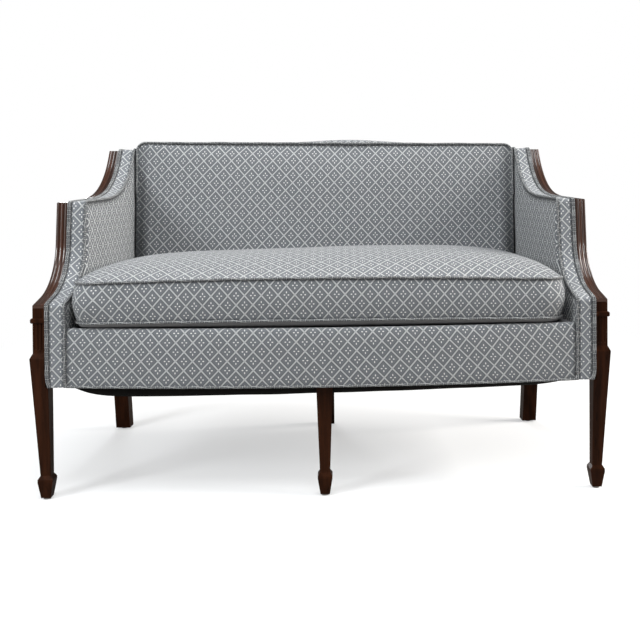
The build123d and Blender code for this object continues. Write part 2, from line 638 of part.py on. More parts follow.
# Corner blocks, screws and dowels
def corner_block(x, y, side):
    """A glue block across one corner of the seat frame; side is +1 at the front, -1 at the back."""
    reach = CORNER_BLOCK_LEG
    points = [(x + reach, y - side * reach), (x - reach, y - side * reach), (x - reach, y),
              (x, y + side * reach), (x + reach, y + side * reach)]
    low = RAIL_BOTTOM + CORNER_BLOCK_RAISE
    block = Pos(0, 0, low) * extrude(make_face(Polyline(*points, close=True)), CORNER_BLOCK_HEIGHT)
    inside = box(-BIG, BIG, rail_front(x), rear_rail_back, 0, BIG)
    inside -= SIDE * box(-BIG, BIG, -BIG, BIG, -ARM_WOOD, BIG)
    block = (block & inside) - corner_leg - back_post - front_rail - side_rail - rear_rail
    return block.solids().sort_by(SortBy.VOLUME)[-1]


def block_screw(x, y, side):
    """A countersunk screw through a corner block into its leg."""
    z = RAIL_BOTTOM + CORNER_BLOCK_RAISE + CORNER_BLOCK_HEIGHT / 2
    way = Vector(1, -side, 0).normalized()
    head = Vector(x, y, z) - way * SCREW_BACK
    tip = head + way * SCREW_LENGTH
    cone = Plane(origin=head, z_dir=way).location * Cone(
        SCREW_HEAD_RADIUS, SCREW_RADIUS, SCREW_HEAD_HEIGHT, align=(Align.CENTER, Align.CENTER, Align.MIN)
    )
    return cone + rod(tuple(head), tuple(tip), SCREW_RADIUS)


front_corner = (LEG_INNER, rail_front(LEG_INNER) + FRONT_RAIL_THICK)
rear_corner = (arm_inside(rear_rail_front, POST_INNER), rear_rail_front)
front_block = corner_block(*front_corner, 1)
rear_block = corner_block(*rear_corner, -1)
front_screw = block_screw(*front_corner, 1)
rear_screw = block_screw(*rear_corner, -1)
front_block -= front_screw
rear_block -= rear_screw
corner_leg -= front_screw
back_post -= rear_screw
front_rail = front_rail - front_screw - mirror(front_screw, about=Plane.YZ)
rear_rail = rear_rail - rear_screw - mirror(rear_screw, about=Plane.YZ)
side_rail = side_rail - front_screw - rear_screw

dowels = []
for lift in DOWEL_LIFTS:
    z = RAIL_BOTTOM + lift
    y = RAIL_END + FRONT_RAIL_THICK / 2
    dowels.append(rod((LEG_INNER - DOWEL_REACH, y, z), (LEG_INNER + DOWEL_REACH, y, z), DOWEL_RADIUS))
    y = rear_rail_front + REAR_RAIL_THICK / 2
    x = arm_inside(y, POST_INNER)
    dowels.append(rod((x - DOWEL_REACH, y, z), (x + DOWEL_REACH, y, z), DOWEL_RADIUS))
for dowel in dowels:
    corner_leg -= dowel
    back_post -= dowel
    for lug in (dowel, mirror(dowel, about=Plane.YZ)):
        front_rail -= lug
        rear_rail -= lug
dowels += [mirror(dowel, about=Plane.YZ) for dowel in dowels]

leg_bolts = [
    rod((x, y, RAIL_BOTTOM - LEG_BOLT_REACH), (x, y, RAIL_BOTTOM + LEG_BOLT_REACH), LEG_BOLT_RADIUS)
    for x, y in (middle_foot, (0, (rear_rail_front + rear_rail_back) / 2))
]
middle_leg -= leg_bolts[0]
stretcher -= leg_bolts[0]
rear_leg -= leg_bolts[1]
rear_rail -= leg_bolts[1]

# Back, modelled upright and then raked
back_top = (POST_TOP - RAIL_BOTTOM) / COS_RAKE
lower_rail_top = LOWER_RAIL_RAISE + LOWER_RAIL_HEIGHT
crest_base = back_top - CREST_HEIGHT
back_half = arm_inside(POST_FRONT_TOP) - BACK_GAP
seat_line = (DECK_TOP - RAIL_BOTTOM) / COS_RAKE + BACK_SEAT_GAP
edge_line = back_top + BACK_WELT_OVER


def back_bar(half, z1, z2):
    """A member of the back frame, flush with the rear of the posts."""
    return BACK * box(-half, half, -BACK_RAIL_THICK, 0, z1, z2)


def back_section(x, half, thick, edge):
    """The padded back cut across: crowned front, swelling top edge, flat rear."""
    share = 1 - (x / half) ** 2
    front_middle = (x, -thick - BACK_SIDE_CROWN - BACK_CROWN * share, (seat_line + edge) / 2)
    top_middle = (x, -thick / 2, edge + CREST_SWELL + CREST_ARCH * share)
    front = ThreePointArc((x, -thick, seat_line), front_middle, (x, -thick, edge))
    top = ThreePointArc((x, -thick, edge), top_middle, (x, 0, edge))
    rest = Polyline((x, 0, edge), (x, 0, seat_line), (x, -thick, seat_line))
    return make_face([front, top, rest])


def back_form(margin):
    """The back's padding as one solid, shrunk by a margin at the front, the top and the sides."""
    half = back_half - margin
    return loft([back_section(share * half, half, BACK_THICK - margin, edge_line - margin)
                 for share in STATIONS])


crest_rail = between_posts(back_bar(HALF_WIDTH, crest_base, back_top))
lower_back_rail = between_posts(back_bar(HALF_WIDTH, LOWER_RAIL_RAISE, lower_rail_top))
back_upright = back_bar(UPRIGHT_WIDTH / 2, lower_rail_top, crest_base)
webbing = BACK * box(-back_half, back_half, -WEBBING_FRONT, -BACK_RAIL_THICK, LOWER_RAIL_RAISE, back_top)
frame_space = box(-BIG, BIG, -WEBBING_FRONT, BIG, -BIG, back_top)
padding, upholstered = back_form(BACK_COVER_THICK), back_form(0)
back_pad = BACK * (padding - frame_space)
back_cover = BACK * (upholstered - padding - frame_space)
outside_half = arm_inside(POST_FRONT_TOP + POST_TOP_DEPTH, POST_INSET)
outside_back = box(-outside_half, outside_half, 0, OUTSIDE_BACK_THICK, -BAND_DROP, back_top)
outside_back = BACK * (outside_back + box(-back_half, back_half, 0, OUTSIDE_BACK_THICK, back_top, edge_line))
for leg in (back_post, mirror(back_post, about=Plane.YZ), rear_leg):
    outside_back -= leg
outside_back = outside_back.solids().sort_by(SortBy.VOLUME)[-1]

welt_half = back_half - WELT_RADIUS
welt_depth = -(BACK_THICK + WELT_RADIUS + WELT_LIFT)
back_path = FilletPolyline(
    (-welt_half, welt_depth, edge_line - BACK_WELT_DROP),
    (-welt_half, welt_depth, edge_line),
    (welt_half, welt_depth, edge_line),
    (welt_half, welt_depth, edge_line - BACK_WELT_DROP),
    radius=BACK_CORNER,
)
back_welt = sweep(Plane(origin=back_path @ 0, z_dir=back_path % 0) * Circle(WELT_RADIUS), path=back_path)
back_welt = BACK * (back_welt - upholstered)

# Cushion
boxing_inset = 2 * WELT_RADIUS + WELT_LIFT
cushion_base = DECK_TOP + FIT
low_welt = DECK_TOP + BOXING_BASE
high_welt = low_welt + BOXING_HEIGHT
boxing_middle = (low_welt + high_welt) / 2
cushion_rear = POST_REAR - BACK_THICK - BACK_SIDE_CROWN - BACK_CROWN - CUSHION_BACK_GAP


def bow_meets_side(radius, far):
    """Where a bow of some radius crosses the line that runs along the arm, far in from its face."""
    start = HALF_WIDTH - far / COS_SPLAY
    slope = 1 + TAN_SPLAY ** 2
    half = start * TAN_SPLAY + BOW_CENTRE
    y = (half - math.sqrt(half ** 2 - slope * (start ** 2 + BOW_CENTRE ** 2 - radius ** 2))) / slope
    return arm_inside(y, far), y


def cushion_outline(inset, z, corner):
    """The cushion in plan: bowed front, sides along the arms, straight back, round corners."""
    far = ARM_THICK + CUSHION_GAP + inset
    radius = BOW_RADIUS + BAND_THICK - CUSHION_SETBACK - inset
    back = cushion_rear - inset
    outward = Vector(COS_SPLAY, COS_SPLAY * TAN_SPLAY)
    bow_middle = Vector(0, BOW_CENTRE)
    hub = Vector(*bow_meets_side(radius - corner, far + corner))
    forward = (hub - bow_middle).normalized()
    front_arc = [bow_middle + forward * radius, hub + (forward + outward).normalized() * corner,
                 hub + outward * corner]
    hub = Vector(arm_inside(back - corner, far + corner), back - corner)
    rearward = Vector(0, 1)
    rear_arc = [hub + outward * corner, hub + (rearward + outward).normalized() * corner,
                hub + rearward * corner]
    edges = [ThreePointArc(mirrored(front_arc[0]), (0, BOW_CENTRE - radius), front_arc[0]),
             Line(rear_arc[2], mirrored(rear_arc[2]))]
    for side in (Vector, mirrored):
        edges.append(ThreePointArc(*[side(p) for p in front_arc]))
        edges.append(Line(side(front_arc[2]), side(rear_arc[0])))
        edges.append(ThreePointArc(*[side(p) for p in rear_arc]))
    return Pos(0, 0, z) * make_face(edges)


def mirrored(point):
    """The same point on the other side of the middle line."""
    return Vector(-point.X, point.Y)


def cushion_form(margin):
    """Belly, drawn-in boxing and crown of the cushion, shrunk by a margin."""
    inset = boxing_inset + margin
    corner = CUSHION_CORNER - inset
    low = cushion_outline(inset, low_welt, corner)
    waist = cushion_outline(inset + BOXING_DRAW, boxing_middle, corner)
    high = cushion_outline(inset, high_welt, corner)
    belly = cushion_outline(inset + BELLY_REACH, cushion_base + margin, corner + BELLY_REACH / 2)
    form = loft([belly, low]) + loft([low, waist, high])
    crown = [high]
    for reach, rise in CROWN_STEPS:
        crown.append(cushion_outline(inset + reach * CROWN_REACH, high_welt + rise * CROWN_RISE - margin,
                                     corner + reach * CROWN_CORNER))
    return form + loft(crown)


def cushion_welt(z):
    """A cord sewn all round the cushion."""
    path = cushion_outline(WELT_RADIUS, z, CUSHION_CORNER - WELT_RADIUS).faces()[0].outer_wire()
    return sweep(Plane(origin=path @ 0, z_dir=path % 0) * Circle(WELT_RADIUS), path=path)


cushion_core = cushion_form(CUSHION_COVER_THICK)
cushion_cover = cushion_form(0) - cushion_core
zip_face = cushion_rear - boxing_inset - BOXING_DRAW
zip_slot = box(-ZIP_LENGTH / 2, ZIP_LENGTH / 2, zip_face - boxing_inset - BOXING_DRAW, BIG,
               boxing_middle - ZIP_HEIGHT / 2, boxing_middle + ZIP_HEIGHT / 2)
zip_tape = cushion_cover & zip_slot
cushion_cover -= zip_slot
slider_near = zip_face + ZIP_RUN
slider_far = slider_near + SLIDER_THICK
slider_x = -ZIP_LENGTH / 2 + ZIP_STOP
slider = box(slider_x - SLIDER_WIDTH / 2, slider_x + SLIDER_WIDTH / 2, slider_near, slider_far,
             boxing_middle - SLIDER_HEIGHT / 2, boxing_middle + SLIDER_HEIGHT / 2)
slider += box(slider_x - PULL_WIDTH / 2, slider_x + PULL_WIDTH / 2, slider_far - PULL_THICK, slider_far,
              boxing_middle - SLIDER_HEIGHT / 2 - PULL_LENGTH, boxing_middle)

# Every piece under its name
add_pair("front_leg", corner_leg)
add_pair("rear_post", back_post)
add_pair("seat_rail", side_rail)
add_pair("arm_post", post_wood)
add_pair("arm_sweep", sweep_wood)
add_pair("arm_tack_rail", tack_rail)
add_pair("outside_arm_panel", outside_panel)
add_pair("arm_burlap", arm_burlap)
add_pair("arm_pad", arm_pad)
add_pair("arm_inside_cover", inside_cover)
add_pair("arm_facing", facing)
add_pair("arm_welt", single_welt)
add_pair("arm_double_welt", *double_welts)
blocks = [front_block, rear_block]
blocks += [mirror(block, about=Plane.YZ) for block in blocks]
screws = [front_screw, rear_screw]
screws += [mirror(screw, about=Plane.YZ) for screw in screws]
pieces.update(
    front_middle_leg=[middle_leg],
    rear_middle_leg=[rear_leg],
    foot_glides=glides,
    front_seat_rail=[front_rail],
    rear_seat_rail=[rear_rail],
    centre_stretcher=[stretcher],
    corner_blocks=blocks,
    corner_block_screws=screws,
    frame_dowels=dowels,
    leg_bolts=leg_bolts,
    crest_rail=[crest_rail],
    lower_back_rail=[lower_back_rail],
    back_upright=[back_upright],
    back_webbing=[webbing],
    back_pad=[back_pad],
    back_cover=[back_cover],
    back_welt=[back_welt],
    outside_back_panel=[outside_back],
    seat_springs=springs,
    spring_clips=spring_clips,
    deck_burlap=[deck_burlap],
    deck_pad=[deck_pad],
    deck_cover=[deck_cover],
    front_edge_roll=[edge_roll],
    front_band_pad=[band_pad],
    front_band_cover=[band_cover],
    front_band_welt=[band_welt],
    dust_cover=[dust_cover],
    cushion_core=[cushion_core],
    cushion_cover=[cushion_cover],
    cushion_top_welt=[cushion_welt(high_welt)],
    cushion_bottom_welt=[cushion_welt(low_welt)],
    zipper_tape=[zip_tape],
    zipper_slider=[slider],
)

# Centre the whole front to back and write one file for each piece
spans = [piece.bounding_box() for group in pieces.values() for piece in group]
front_end = min(span.min.Y for span in spans)
rear_end = max(span.max.Y for span in spans)
centred = Pos(0, -(front_end + rear_end) / 2, 0)
os.makedirs("parts", exist_ok=True)
for name, group in pieces.items():
    solids = [centred * solid for piece in group for solid in piece.solids()]
    export_step(Compound(solids), "parts/" + name + ".step")
print("pieces", len(pieces))
print("front to origin", round((front_end + rear_end) / 2, 3))
print("zipper slider at", [round(c, 2) for c in (centred * slider).center()])
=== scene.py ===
"""The looks of an upholstered settee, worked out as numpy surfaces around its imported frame."""

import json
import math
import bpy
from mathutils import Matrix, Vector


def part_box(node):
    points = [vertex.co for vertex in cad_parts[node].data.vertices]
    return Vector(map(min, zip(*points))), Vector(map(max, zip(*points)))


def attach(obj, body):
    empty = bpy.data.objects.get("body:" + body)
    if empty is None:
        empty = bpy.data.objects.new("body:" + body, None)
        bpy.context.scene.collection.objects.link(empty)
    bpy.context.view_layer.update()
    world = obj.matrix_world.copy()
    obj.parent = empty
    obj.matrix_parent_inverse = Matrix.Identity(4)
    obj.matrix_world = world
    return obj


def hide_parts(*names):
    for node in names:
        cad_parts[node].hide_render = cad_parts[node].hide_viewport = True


bl_info = {
    "name": "Settee upholstery",
    "version": (1, 0, 0),
    "blender": (4, 5, 0),
    "location": "View3D > Sidebar > Settee",
    "description": "Show-wood, covers, welts and cushion of a settee around its frame",
    "category": "Object",
}

from functools import partialmethod

import bmesh
import bpy
import numpy as np
from mathutils import Matrix, Vector

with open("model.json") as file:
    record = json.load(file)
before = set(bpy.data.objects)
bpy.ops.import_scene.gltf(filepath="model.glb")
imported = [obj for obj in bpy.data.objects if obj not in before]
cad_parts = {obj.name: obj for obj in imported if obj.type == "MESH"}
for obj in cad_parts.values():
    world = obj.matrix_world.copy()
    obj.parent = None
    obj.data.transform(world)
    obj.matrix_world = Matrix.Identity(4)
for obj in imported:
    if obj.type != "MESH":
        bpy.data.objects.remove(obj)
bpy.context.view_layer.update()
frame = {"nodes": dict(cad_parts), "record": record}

# Places read from the frame, in metres
LEG_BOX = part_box("right_front_leg")
BAND_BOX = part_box("front_band_cover")
DECK_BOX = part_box("deck_cover")
CUSHION_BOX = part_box("cushion_cover")
BACK_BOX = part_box("outside_back_panel")
DUST_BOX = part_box("dust_cover")
HALF_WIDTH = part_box("right_arm_post")[1].x
BACK_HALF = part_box("back_cover")[1].x
LEG_TOP = LEG_BOX[1].z
POST_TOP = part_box("right_rear_post")[1].z
BAND_BOTTOM, BAND_TOP = BAND_BOX[0].z, BAND_BOX[1].z
DECK_TOP = DECK_BOX[1].z
RAIL_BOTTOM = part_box("front_seat_rail")[0].z
SIDES = (("right", 1.0), ("left", -1.0))
UP = (0.0, 0.0, 1.0)

# How far the painted shade of creases reaches beside a plain seam, a welt, a thin cord and the back's rim, in
# metres
PLAIN_SEAM_SHADE, WELT_SEAM_SHADE, CORD_SEAM_SHADE, RIM_SEAM_SHADE = 0.005, 0.011, 0.006, 0.008

# Points along the panels of an arm
INSIDE_COLUMNS, OUTSIDE_COLUMNS = 91, 80

# Cuts of the patterned cloth, and copies of it that paint light and shade: degrees off the straight, tone of
# the ground, scale and tone of the figure. Tones follow the photo. The bias cut is drawn finer, so that a
# thin cord shows the figure's change of tone; its darker tones are painted shade on the welts. The arm copy's
# darker ground and brighter figure are painted shade and light on the inside arms, and the facing copy's
# paler ground and brighter figure are painted light on the facing strips.
CUTS = {
    "lattice_cloth": (0.0, 1.0, 1.0, 1.0),
    "bias_cloth": (38.0, 0.55, 0.36, 0.72),
    "arm_cloth": (0.0, 0.86, 1.0, 1.15),
    "facing_cloth": (0.0, 1.25, 1.0, 1.08),
}

# Soft boxes: place and side in metres, watts and colour; all of them face one point above a wide floor
COOL, WARM = (0.95, 0.98, 1.0), (1.0, 0.97, 0.93)
LAMPS = {
    "side": ((6.0, -0.3, 3.0), 3.0, 660.0, WARM),
    "top": ((0.0, -1.1, 2.9), 1.8, 76.0, COOL),
    "front": ((-2.2, -1.9, 1.6), 0.9, 60.0, COOL),
    "rear": ((-1.0, 4.5, 1.4), 1.6, 130.0, COOL),
}
LAMP_AIM = (0.0, 0.0, 0.5)
FLOOR_HALF = 30.0


# Kinds of value that a user may change; the panel labels each by its own name
def number(text, default, **options):
    """A plain number."""
    return bpy.props.FloatProperty(description=text, default=default, **options)


def length(text, default):
    """A length in metres."""
    return number(text, default, unit="LENGTH", precision=4)


def angle(text, degrees):
    """An angle, given in degrees."""
    return number(text, math.radians(degrees), subtype="ANGLE")


def share(text, default):
    """A factor."""
    return number(text, default, subtype="FACTOR")


def vector(text, default, **options):
    """Two or three numbers."""
    return bpy.props.FloatVectorProperty(description=text, default=default, size=len(default), **options)


def colour(text, default):
    """A linear colour."""
    return vector(text, default, subtype="COLOR", min=0.0, max=1.0)


class SetteeArm(bpy.types.PropertyGroup):
    """The arm in side view and across."""
    splay: angle("Turn of each arm in towards the back", 3.0)
    leg_flare: length("How far the leg stands out before its block", 0.006)
    wood: length("Width of the reeded wood", 0.027)
    depth: length("Depth of the wood, square to its line", 0.031)
    thick: length("Wood, facing and inside cover together", 0.074)
    nose: length("Height of the post's front edge above the leg", 0.008)
    toe_slope: angle("Slope where the post leaves the leg", 16.0)
    toe_length: length("Straight run before the lower sweep", 0.042)
    post_radius: length("Radius of the lower sweep", 0.132)
    post_bend: angle("Turn of the lower sweep", 68.0)
    post_upright: length("Straight run up to the step", 0.100)
    sweep_slope: angle("Slope of the level run behind the step", 2.0)
    sweep_level: length("Length of that level run", 0.145)
    rise_radius: length("Radius of the first rise", 0.600)
    rise_bend: angle("Turn of the first rise", 8.0)
    curl_radius: length("Radius of the rise to the back", 0.225)
    curl_bend: angle("Turn of the rise to the back", 50.0)
    reeds: bpy.props.IntProperty(description="Round reeds across the wood", default=3)
    groove: length("Depth of the grooves between reeds", 0.0030)
    bead: length("Rounding of the wood's lower edges", 0.002)
    facing_swell: length("Swell of the strip between its welts", 0.0050)
    cover_swell: length("Swell of the inside arm", 0.006)
    seam_dip: length("How far cloth dips beside a welt", 0.0035)
    facing_shift: length("Place of the pattern across the strip", 0.0045)
    tuck: length("How far the strip's foot is drawn in", 0.0055)
    tuck_height: length("Height over which the foot is drawn in", 0.026)
    lap: length("How far the strip laps over the rear of the crest", 0.003)
    lap_lift: length("Height of the lap above the posts", 0.002)
    cover_drop: length("Top of the inside cover below the arm's edge", 0.0015)
    cover_front: length("Front edge of the inside cover behind the leg's front", 0.002)
    cover_rear: length("Rear end of the inside cover's top", 0.566)
    cover_foot: length("Rear end of the inside cover's foot", 0.548)
    cover_tuck: length("How far the inside cover goes below the deck", 0.020)
    cover_deep: length("Rear of the inside cover behind the arm's inner face", 0.006)
    facing_gap: length("Strip's outer edge beside the wood", 0.0005)
    facing_inset: length("Strip's inner edge behind the arm's inner face", 0.002)
    facing_thick: length("Underside of the strip below the arm's edge", 0.0045)
    panel_lap: length("How far the outside panel goes under the wood", 0.002)
    panel_step: length("Front end of the outside panel's top behind the wood", 0.004)
    panel_front: length("Front end of the outside panel's foot", 0.0335)
    panel_rear: length("Rear end of the outside panel's top", 0.575)
    panel_foot: length("Rear end of the outside panel's foot", 0.545)
    panel_in: length("Outside panel behind the wood's outer face", 0.0045)
    panel_back: length("Rear of the outside panel behind the wood's outer face", 0.0068)
    panel_swell: length("Swell of the outside panel", 0.0025)


class SetteeBack(bpy.types.PropertyGroup):
    """The tight back."""
    rake: angle("Lean of the back", 3.5)
    thick: length("Frame and padding at the edges", 0.064)
    frame: length("Depth of the rails and webbing behind the padding", 0.026)
    crown: length("Swell of the padding's middle", 0.013)
    welt_over: length("Front edge above the tops of the posts", 0.015)
    crest: length("Swell of the top edge", 0.003)
    crest_arch: length("Further swell of the top edge near its middle", 0.012)
    crest_middle: length("Place of that further swell", 0.070)
    crest_half: length("Half width of that further swell", 0.150)
    lean: length("How much the top edge falls to the right", 0.004)
    corner: length("Rounding of the top corners", 0.024)
    base: length("Underside of the padding above the deck", 0.002)
    stretch: share("How far the cloth is stretched over the padding", 1.04)
    crest_gap: length("Underside of the crest's padding below the posts", 0.001)
    # Painted shade: how far the shade painted beside the arms reaches across the back
    side_shade: length("Reach of the dark beside the arms", 0.045)
    hold: length("Padding behind this much of its front edge stays put", 0.002)
    rim: length("Width of the edge that stays put", 0.012)
    pressure: share("Push of the filling in the simulation", 3.0)
    swell: length("Most that the filling may push the cloth", 0.008)
    panel_swell: length("Swell of the outside back", 0.004)
    panel_out: length("Face of the outside back behind the posts", 0.0036)
    panel_gap: length("Rear of the posts to the outside back", 0.0003)


class SetteeCushion(bpy.types.PropertyGroup):
    """The loose seat cushion."""
    gap: length("Cushion welt to the arms", 0.003)
    setback: length("Cushion front behind the band", 0.004)
    inset: length("Seams behind the outer edge of their welts", 0.0045)
    corner: length("Rounding of the corners in plan", 0.062)
    forward: length("How far the front corners reach before the bow", 0.012)
    top_seam: length("Height of the upper welt at its ends", 0.4800)
    top_arch: length("Rise of the upper welt in the middle of the front", 0.0140)
    low_seam: length("Height of the lower welt at its ends", 0.3935)
    low_arch: length("Rise of the lower welt in the middle of the front", 0.0070)
    crown: length("Height of the unfilled crown over its welt", 0.041)
    lean: length("How much fuller the right seat is than the left", 0.0125)
    front_bulge: length("Swell of the front boxing between the welts", 0.0050)
    side_bulge: length("Swell of the side boxing beside the arms", 0.0020)
    corner_bulge: length("Further swell of the front corners", 0.0100)
    short: length("How much shorter the cushion is at its right end", 0.012)
    zip_draw: length("How far the boxing is drawn in along the zipper", 0.0056)
    pucker: length("Small gathers of the cloth along a seam", 0.0006)
    swell: length("Most that the filling may push the cloth", 0.022)
    pack: share("How closely the boxing's pattern is gathered along the welts", 1.032)
    pressure: share("Push of the filling in the simulation", 4.0)
    tooth: length("Pitch of the zipper's teeth", 0.0026)
    deck_gap: length("Underside above the deck", 0.0006)
    boxing_shift: length("Place of the pattern along the boxing", 0.0078)
    boxing_lift: length("Place of the pattern up the boxing", 0.0034)
    top_shift: length("Place of the pattern across the top", 0.0125)
    top_lift: length("Place of the pattern along the top", 0.033)
    zip_zone: length("Depth at the back that the zipper holds", 0.012)
    hold: length("Underside this far below its welt stays put", 0.002)


class SetteeTrim(bpy.types.PropertyGroup):
    """Bow, band, welts, deck and dust cover."""
    bow: length("How far the front rail bows out", 0.038)
    block: length("Side of the square leg block", 0.033)
    rebate: length("Leg front to the ends of the rail's front", 0.008)
    band: length("Thickness of the front band", 0.007)
    band_swell: length("Swell of the front band", 0.003)
    roll: length("Depth of the roll over the front rail", 0.018)
    welt: length("Radius of a welt", 0.0028)
    double_welt: length("Radius of each cord of a double welt", 0.0021)
    deck_sink: length("Hollow of the deck", 0.006)
    band_gap: length("Rear of the front band before the rail", 0.0005)
    roll_rise: length("Height of the roll over the band", 0.008)
    roll_deep: length("Underside of the roll below the band's top", 0.009)
    deck_gap: length("Deck to the arms", 0.001)
    deck_drop: length("Deck below its box", 0.0004)
    deck_thick: length("Underside of the deck below its box", 0.022)
    sag: length("Sag of the dust cover", 0.060)


class SetteeFinish(bpy.types.PropertyGroup):
    """Cloth pattern and colours."""
    pitch_x: length("Width of one diamond", 0.0380)
    pitch_y: length("Height of one diamond", 0.0410)
    line: length("Width of the lattice's lines", 0.0031)
    petal: length("Diamond middle to its four petals, on average", 0.0052)
    yarn: length("Pitch of the yarns", 0.0011)
    ground: colour("Grey-blue ground of the cloth", (0.130, 0.138, 0.150))
    lattice: colour("Grey lines of the lattice", (0.410, 0.420, 0.417))
    thread: colour("Pale petals of the lattice", (0.700, 0.700, 0.670))
    deck: colour("Plain grey cloth under the cushion", (0.068, 0.069, 0.073))
    cambric: colour("Black dust cover", (0.007, 0.0066, 0.0062))
    wood_dark: colour("Dark grain of the mahogany", (0.0062, 0.0022, 0.0010))
    wood_light: colour("Red grain of the mahogany", (0.0315, 0.0098, 0.0038))
    floor: colour("Pale floor", (0.86, 0.86, 0.86))


class SetteeCamera(bpy.types.PropertyGroup):
    """The photograph's viewpoint."""
    place: vector("Where the camera stands", (0.0337, -2.1804, 0.6891), subtype="TRANSLATION")
    yaw: angle("Turn to the right", 2.387)
    pitch: angle("Tilt down", 0.737)
    roll: angle("Tilt about the line of sight", -0.354)
    focal: number("In pixels of the photo", 846.74)
    axis: vector("Pixel that the line of sight passes", (373.57, 199.99))
    frame_side: number("Side of the photo in pixels", 640.0)


GROUPS = {"arm": SetteeArm, "back": SetteeBack, "cushion": SetteeCushion, "trim": SetteeTrim,
          "finish": SetteeFinish, "camera": SetteeCamera}


def sizes(group):
    """The property group of that name on the scene."""
    return getattr(bpy.context.scene, "settee_" + group)


# Sums that many places use
def stacked(*axes):
    """Coordinates spread to one shape and joined into points."""
    return np.stack(np.broadcast_arrays(*axes), axis=-1)


def unit(vectors):
    """Vectors made one long."""
    return vectors / np.linalg.norm(vectors, axis=1, keepdims=True)


def way(value, start, end):
    """How far a value has come from start to end, kept between 0 and 1."""
    return np.clip((value - start) / (end - start), 0, 1)


def smooth(t):
    """A way from 0 to 1 that starts and ends level."""
    return t * t * (3 - 2 * t)


def crowded(t, turn):
    """Values from -1 to 1 crowded towards both ends: sin(turn t) / sin(turn)."""
    return np.sin(t * turn) / math.sin(turn)


# Places that follow from the frame and the sizes
def front_line():
    """The frame's y of the leg blocks' front faces, from which depths count backwards."""
    return LEG_BOX[0].y + sizes("arm").leg_flare


def arm_point(at, d, side):
    """A place on an arm: at holds s along its depth and z up, and d is in from its outer face.

    The arm's plane is turned by the splay, so x = half width - d cos - s sin, y = front + s cos - d sin.
    """
    turn = sizes("arm").splay
    s, z = at[..., 0], at[..., 1]
    x = HALF_WIDTH - d * math.cos(turn) - s * math.sin(turn)
    y = front_line() + s * math.cos(turn) - d * math.sin(turn)
    return stacked(side * x, y, z)


def arm_inside(v, far):
    """Distance from the middle plane to the line that lies far in from an arm's outer face, at depth v."""
    turn = sizes("arm").splay
    return HALF_WIDTH - far / math.cos(turn) - v * math.tan(turn)


def bow_front(x, stand):
    """Depth v of the bowed front at x, standing out from the rail by stand.

    The bow is a circle through the leg blocks with the given rise: v = centre - sqrt(radius^2 - x^2).
    """
    trim = sizes("trim")
    half = HALF_WIDTH - trim.block
    radius = (half ** 2 + trim.bow ** 2) / (2 * trim.bow)
    return trim.rebate - trim.bow + radius - np.sqrt((radius + stand) ** 2 - x ** 2)


def back_point(x, y, z):
    """A place on the raked back: y behind the rear face of the posts, z up it from the rail's underside."""
    rake = sizes("back").rake
    foot = BACK_BOX[0].y + (RAIL_BOTTOM - BACK_BOX[0].z) * math.tan(rake)
    return stacked(x, foot + y * math.cos(rake) + z * math.sin(rake),
                   RAIL_BOTTOM - y * math.sin(rake) + z * math.cos(rake))


def back_height(z):
    """How far up the raked back a level lies."""
    return (z - RAIL_BOTTOM) / math.cos(sizes("back").rake)


# Lines
def heading(turn):
    """Unit vector at an angle in the side view."""
    return np.array([math.cos(turn), math.sin(turn)])


def run_samples(start, end, first, last, step):
    """Points of a straight run, with the inward vector going evenly from first to last."""
    t = np.linspace(0, 1, max(2, math.ceil(np.linalg.norm(end - start) / step)))[:, None]
    return start + (end - start) * t, first + (last - first) * t


def bend_samples(start, turn, radius, bend, step):
    """Points of an arc that leaves start at angle turn and bends left; inward is square to it, rightwards."""
    a = turn + bend * np.linspace(0, 1, max(3, math.ceil(radius * bend / step)))
    inward = stacked(np.sin(a), -np.cos(a))
    centre = start + radius * heading(turn + math.pi / 2)
    return centre + radius * inward, inward


def arm_lines(step=0.004):
    """The lower and upper sweep of the arm, each as points (s, z) and inward vectors per metre of depth.

    Runs and arcs follow each other at even slope. At the step the inward vector is the mitre's, the vector
    that is one metre deep to both runs; at the leg it is upright, and at the back post it is level.
    """
    arm = sizes("arm")
    right = -math.pi / 2
    lean = arm.toe_slope + arm.post_bend
    normals = np.array([heading(lean + right), heading(arm.sweep_slope + right)])
    mitre = np.linalg.solve(normals, np.ones(2))
    start = np.array([0.0, LEG_TOP + arm.nose])
    knee = start + arm.toe_length * heading(arm.toe_slope)
    toe = run_samples(start, knee, np.array([0, -1 / math.cos(arm.toe_slope)]),
                      heading(arm.toe_slope + right), step)
    low_arc = bend_samples(knee, arm.toe_slope, arm.post_radius, arm.post_bend, step)
    neck = low_arc[0][-1]
    top = neck + arm.post_upright * heading(lean)
    upright = run_samples(neck, top, normals[0], mitre, step)
    level_end = top + arm.sweep_level * heading(arm.sweep_slope)
    level = run_samples(top, level_end, mitre, normals[1], step)
    rise = bend_samples(level_end, arm.sweep_slope, arm.rise_radius, arm.rise_bend, step)
    slope = arm.sweep_slope + arm.rise_bend
    curl = bend_samples(rise[0][-1], slope, arm.curl_radius, arm.curl_bend, step)
    slope += arm.curl_bend
    last = curl[0][-1]
    reach = (POST_TOP - last[1]) / math.sin(slope)
    end = run_samples(last, last + reach * heading(slope), heading(slope + right),
                      np.array([1 / math.sin(slope), 0.0]), step)

    def joined(*parts):
        """One line from parts that share their end points."""
        return tuple(np.concatenate([rows[0], *(row[1:] for row in rows[1:])]) for rows in zip(*parts))

    return joined(toe, low_arc, upright), joined(level, rise, curl, end)


def run_along(points):
    """Length along a line up to each of its points."""
    return np.concatenate([[0], np.cumsum(np.linalg.norm(np.diff(points, axis=0), axis=1))])


def spread(points, count):
    """The same line as a number of points at even spacing along its length."""
    run = run_along(points)
    at = np.linspace(0, run[-1], count)
    return stacked(*(np.interp(at, run, axis) for axis in points.T))


def evened(points, step):
    """The same line with its points about a step apart."""
    return spread(points, max(2, math.ceil(run_along(points)[-1] / step)))


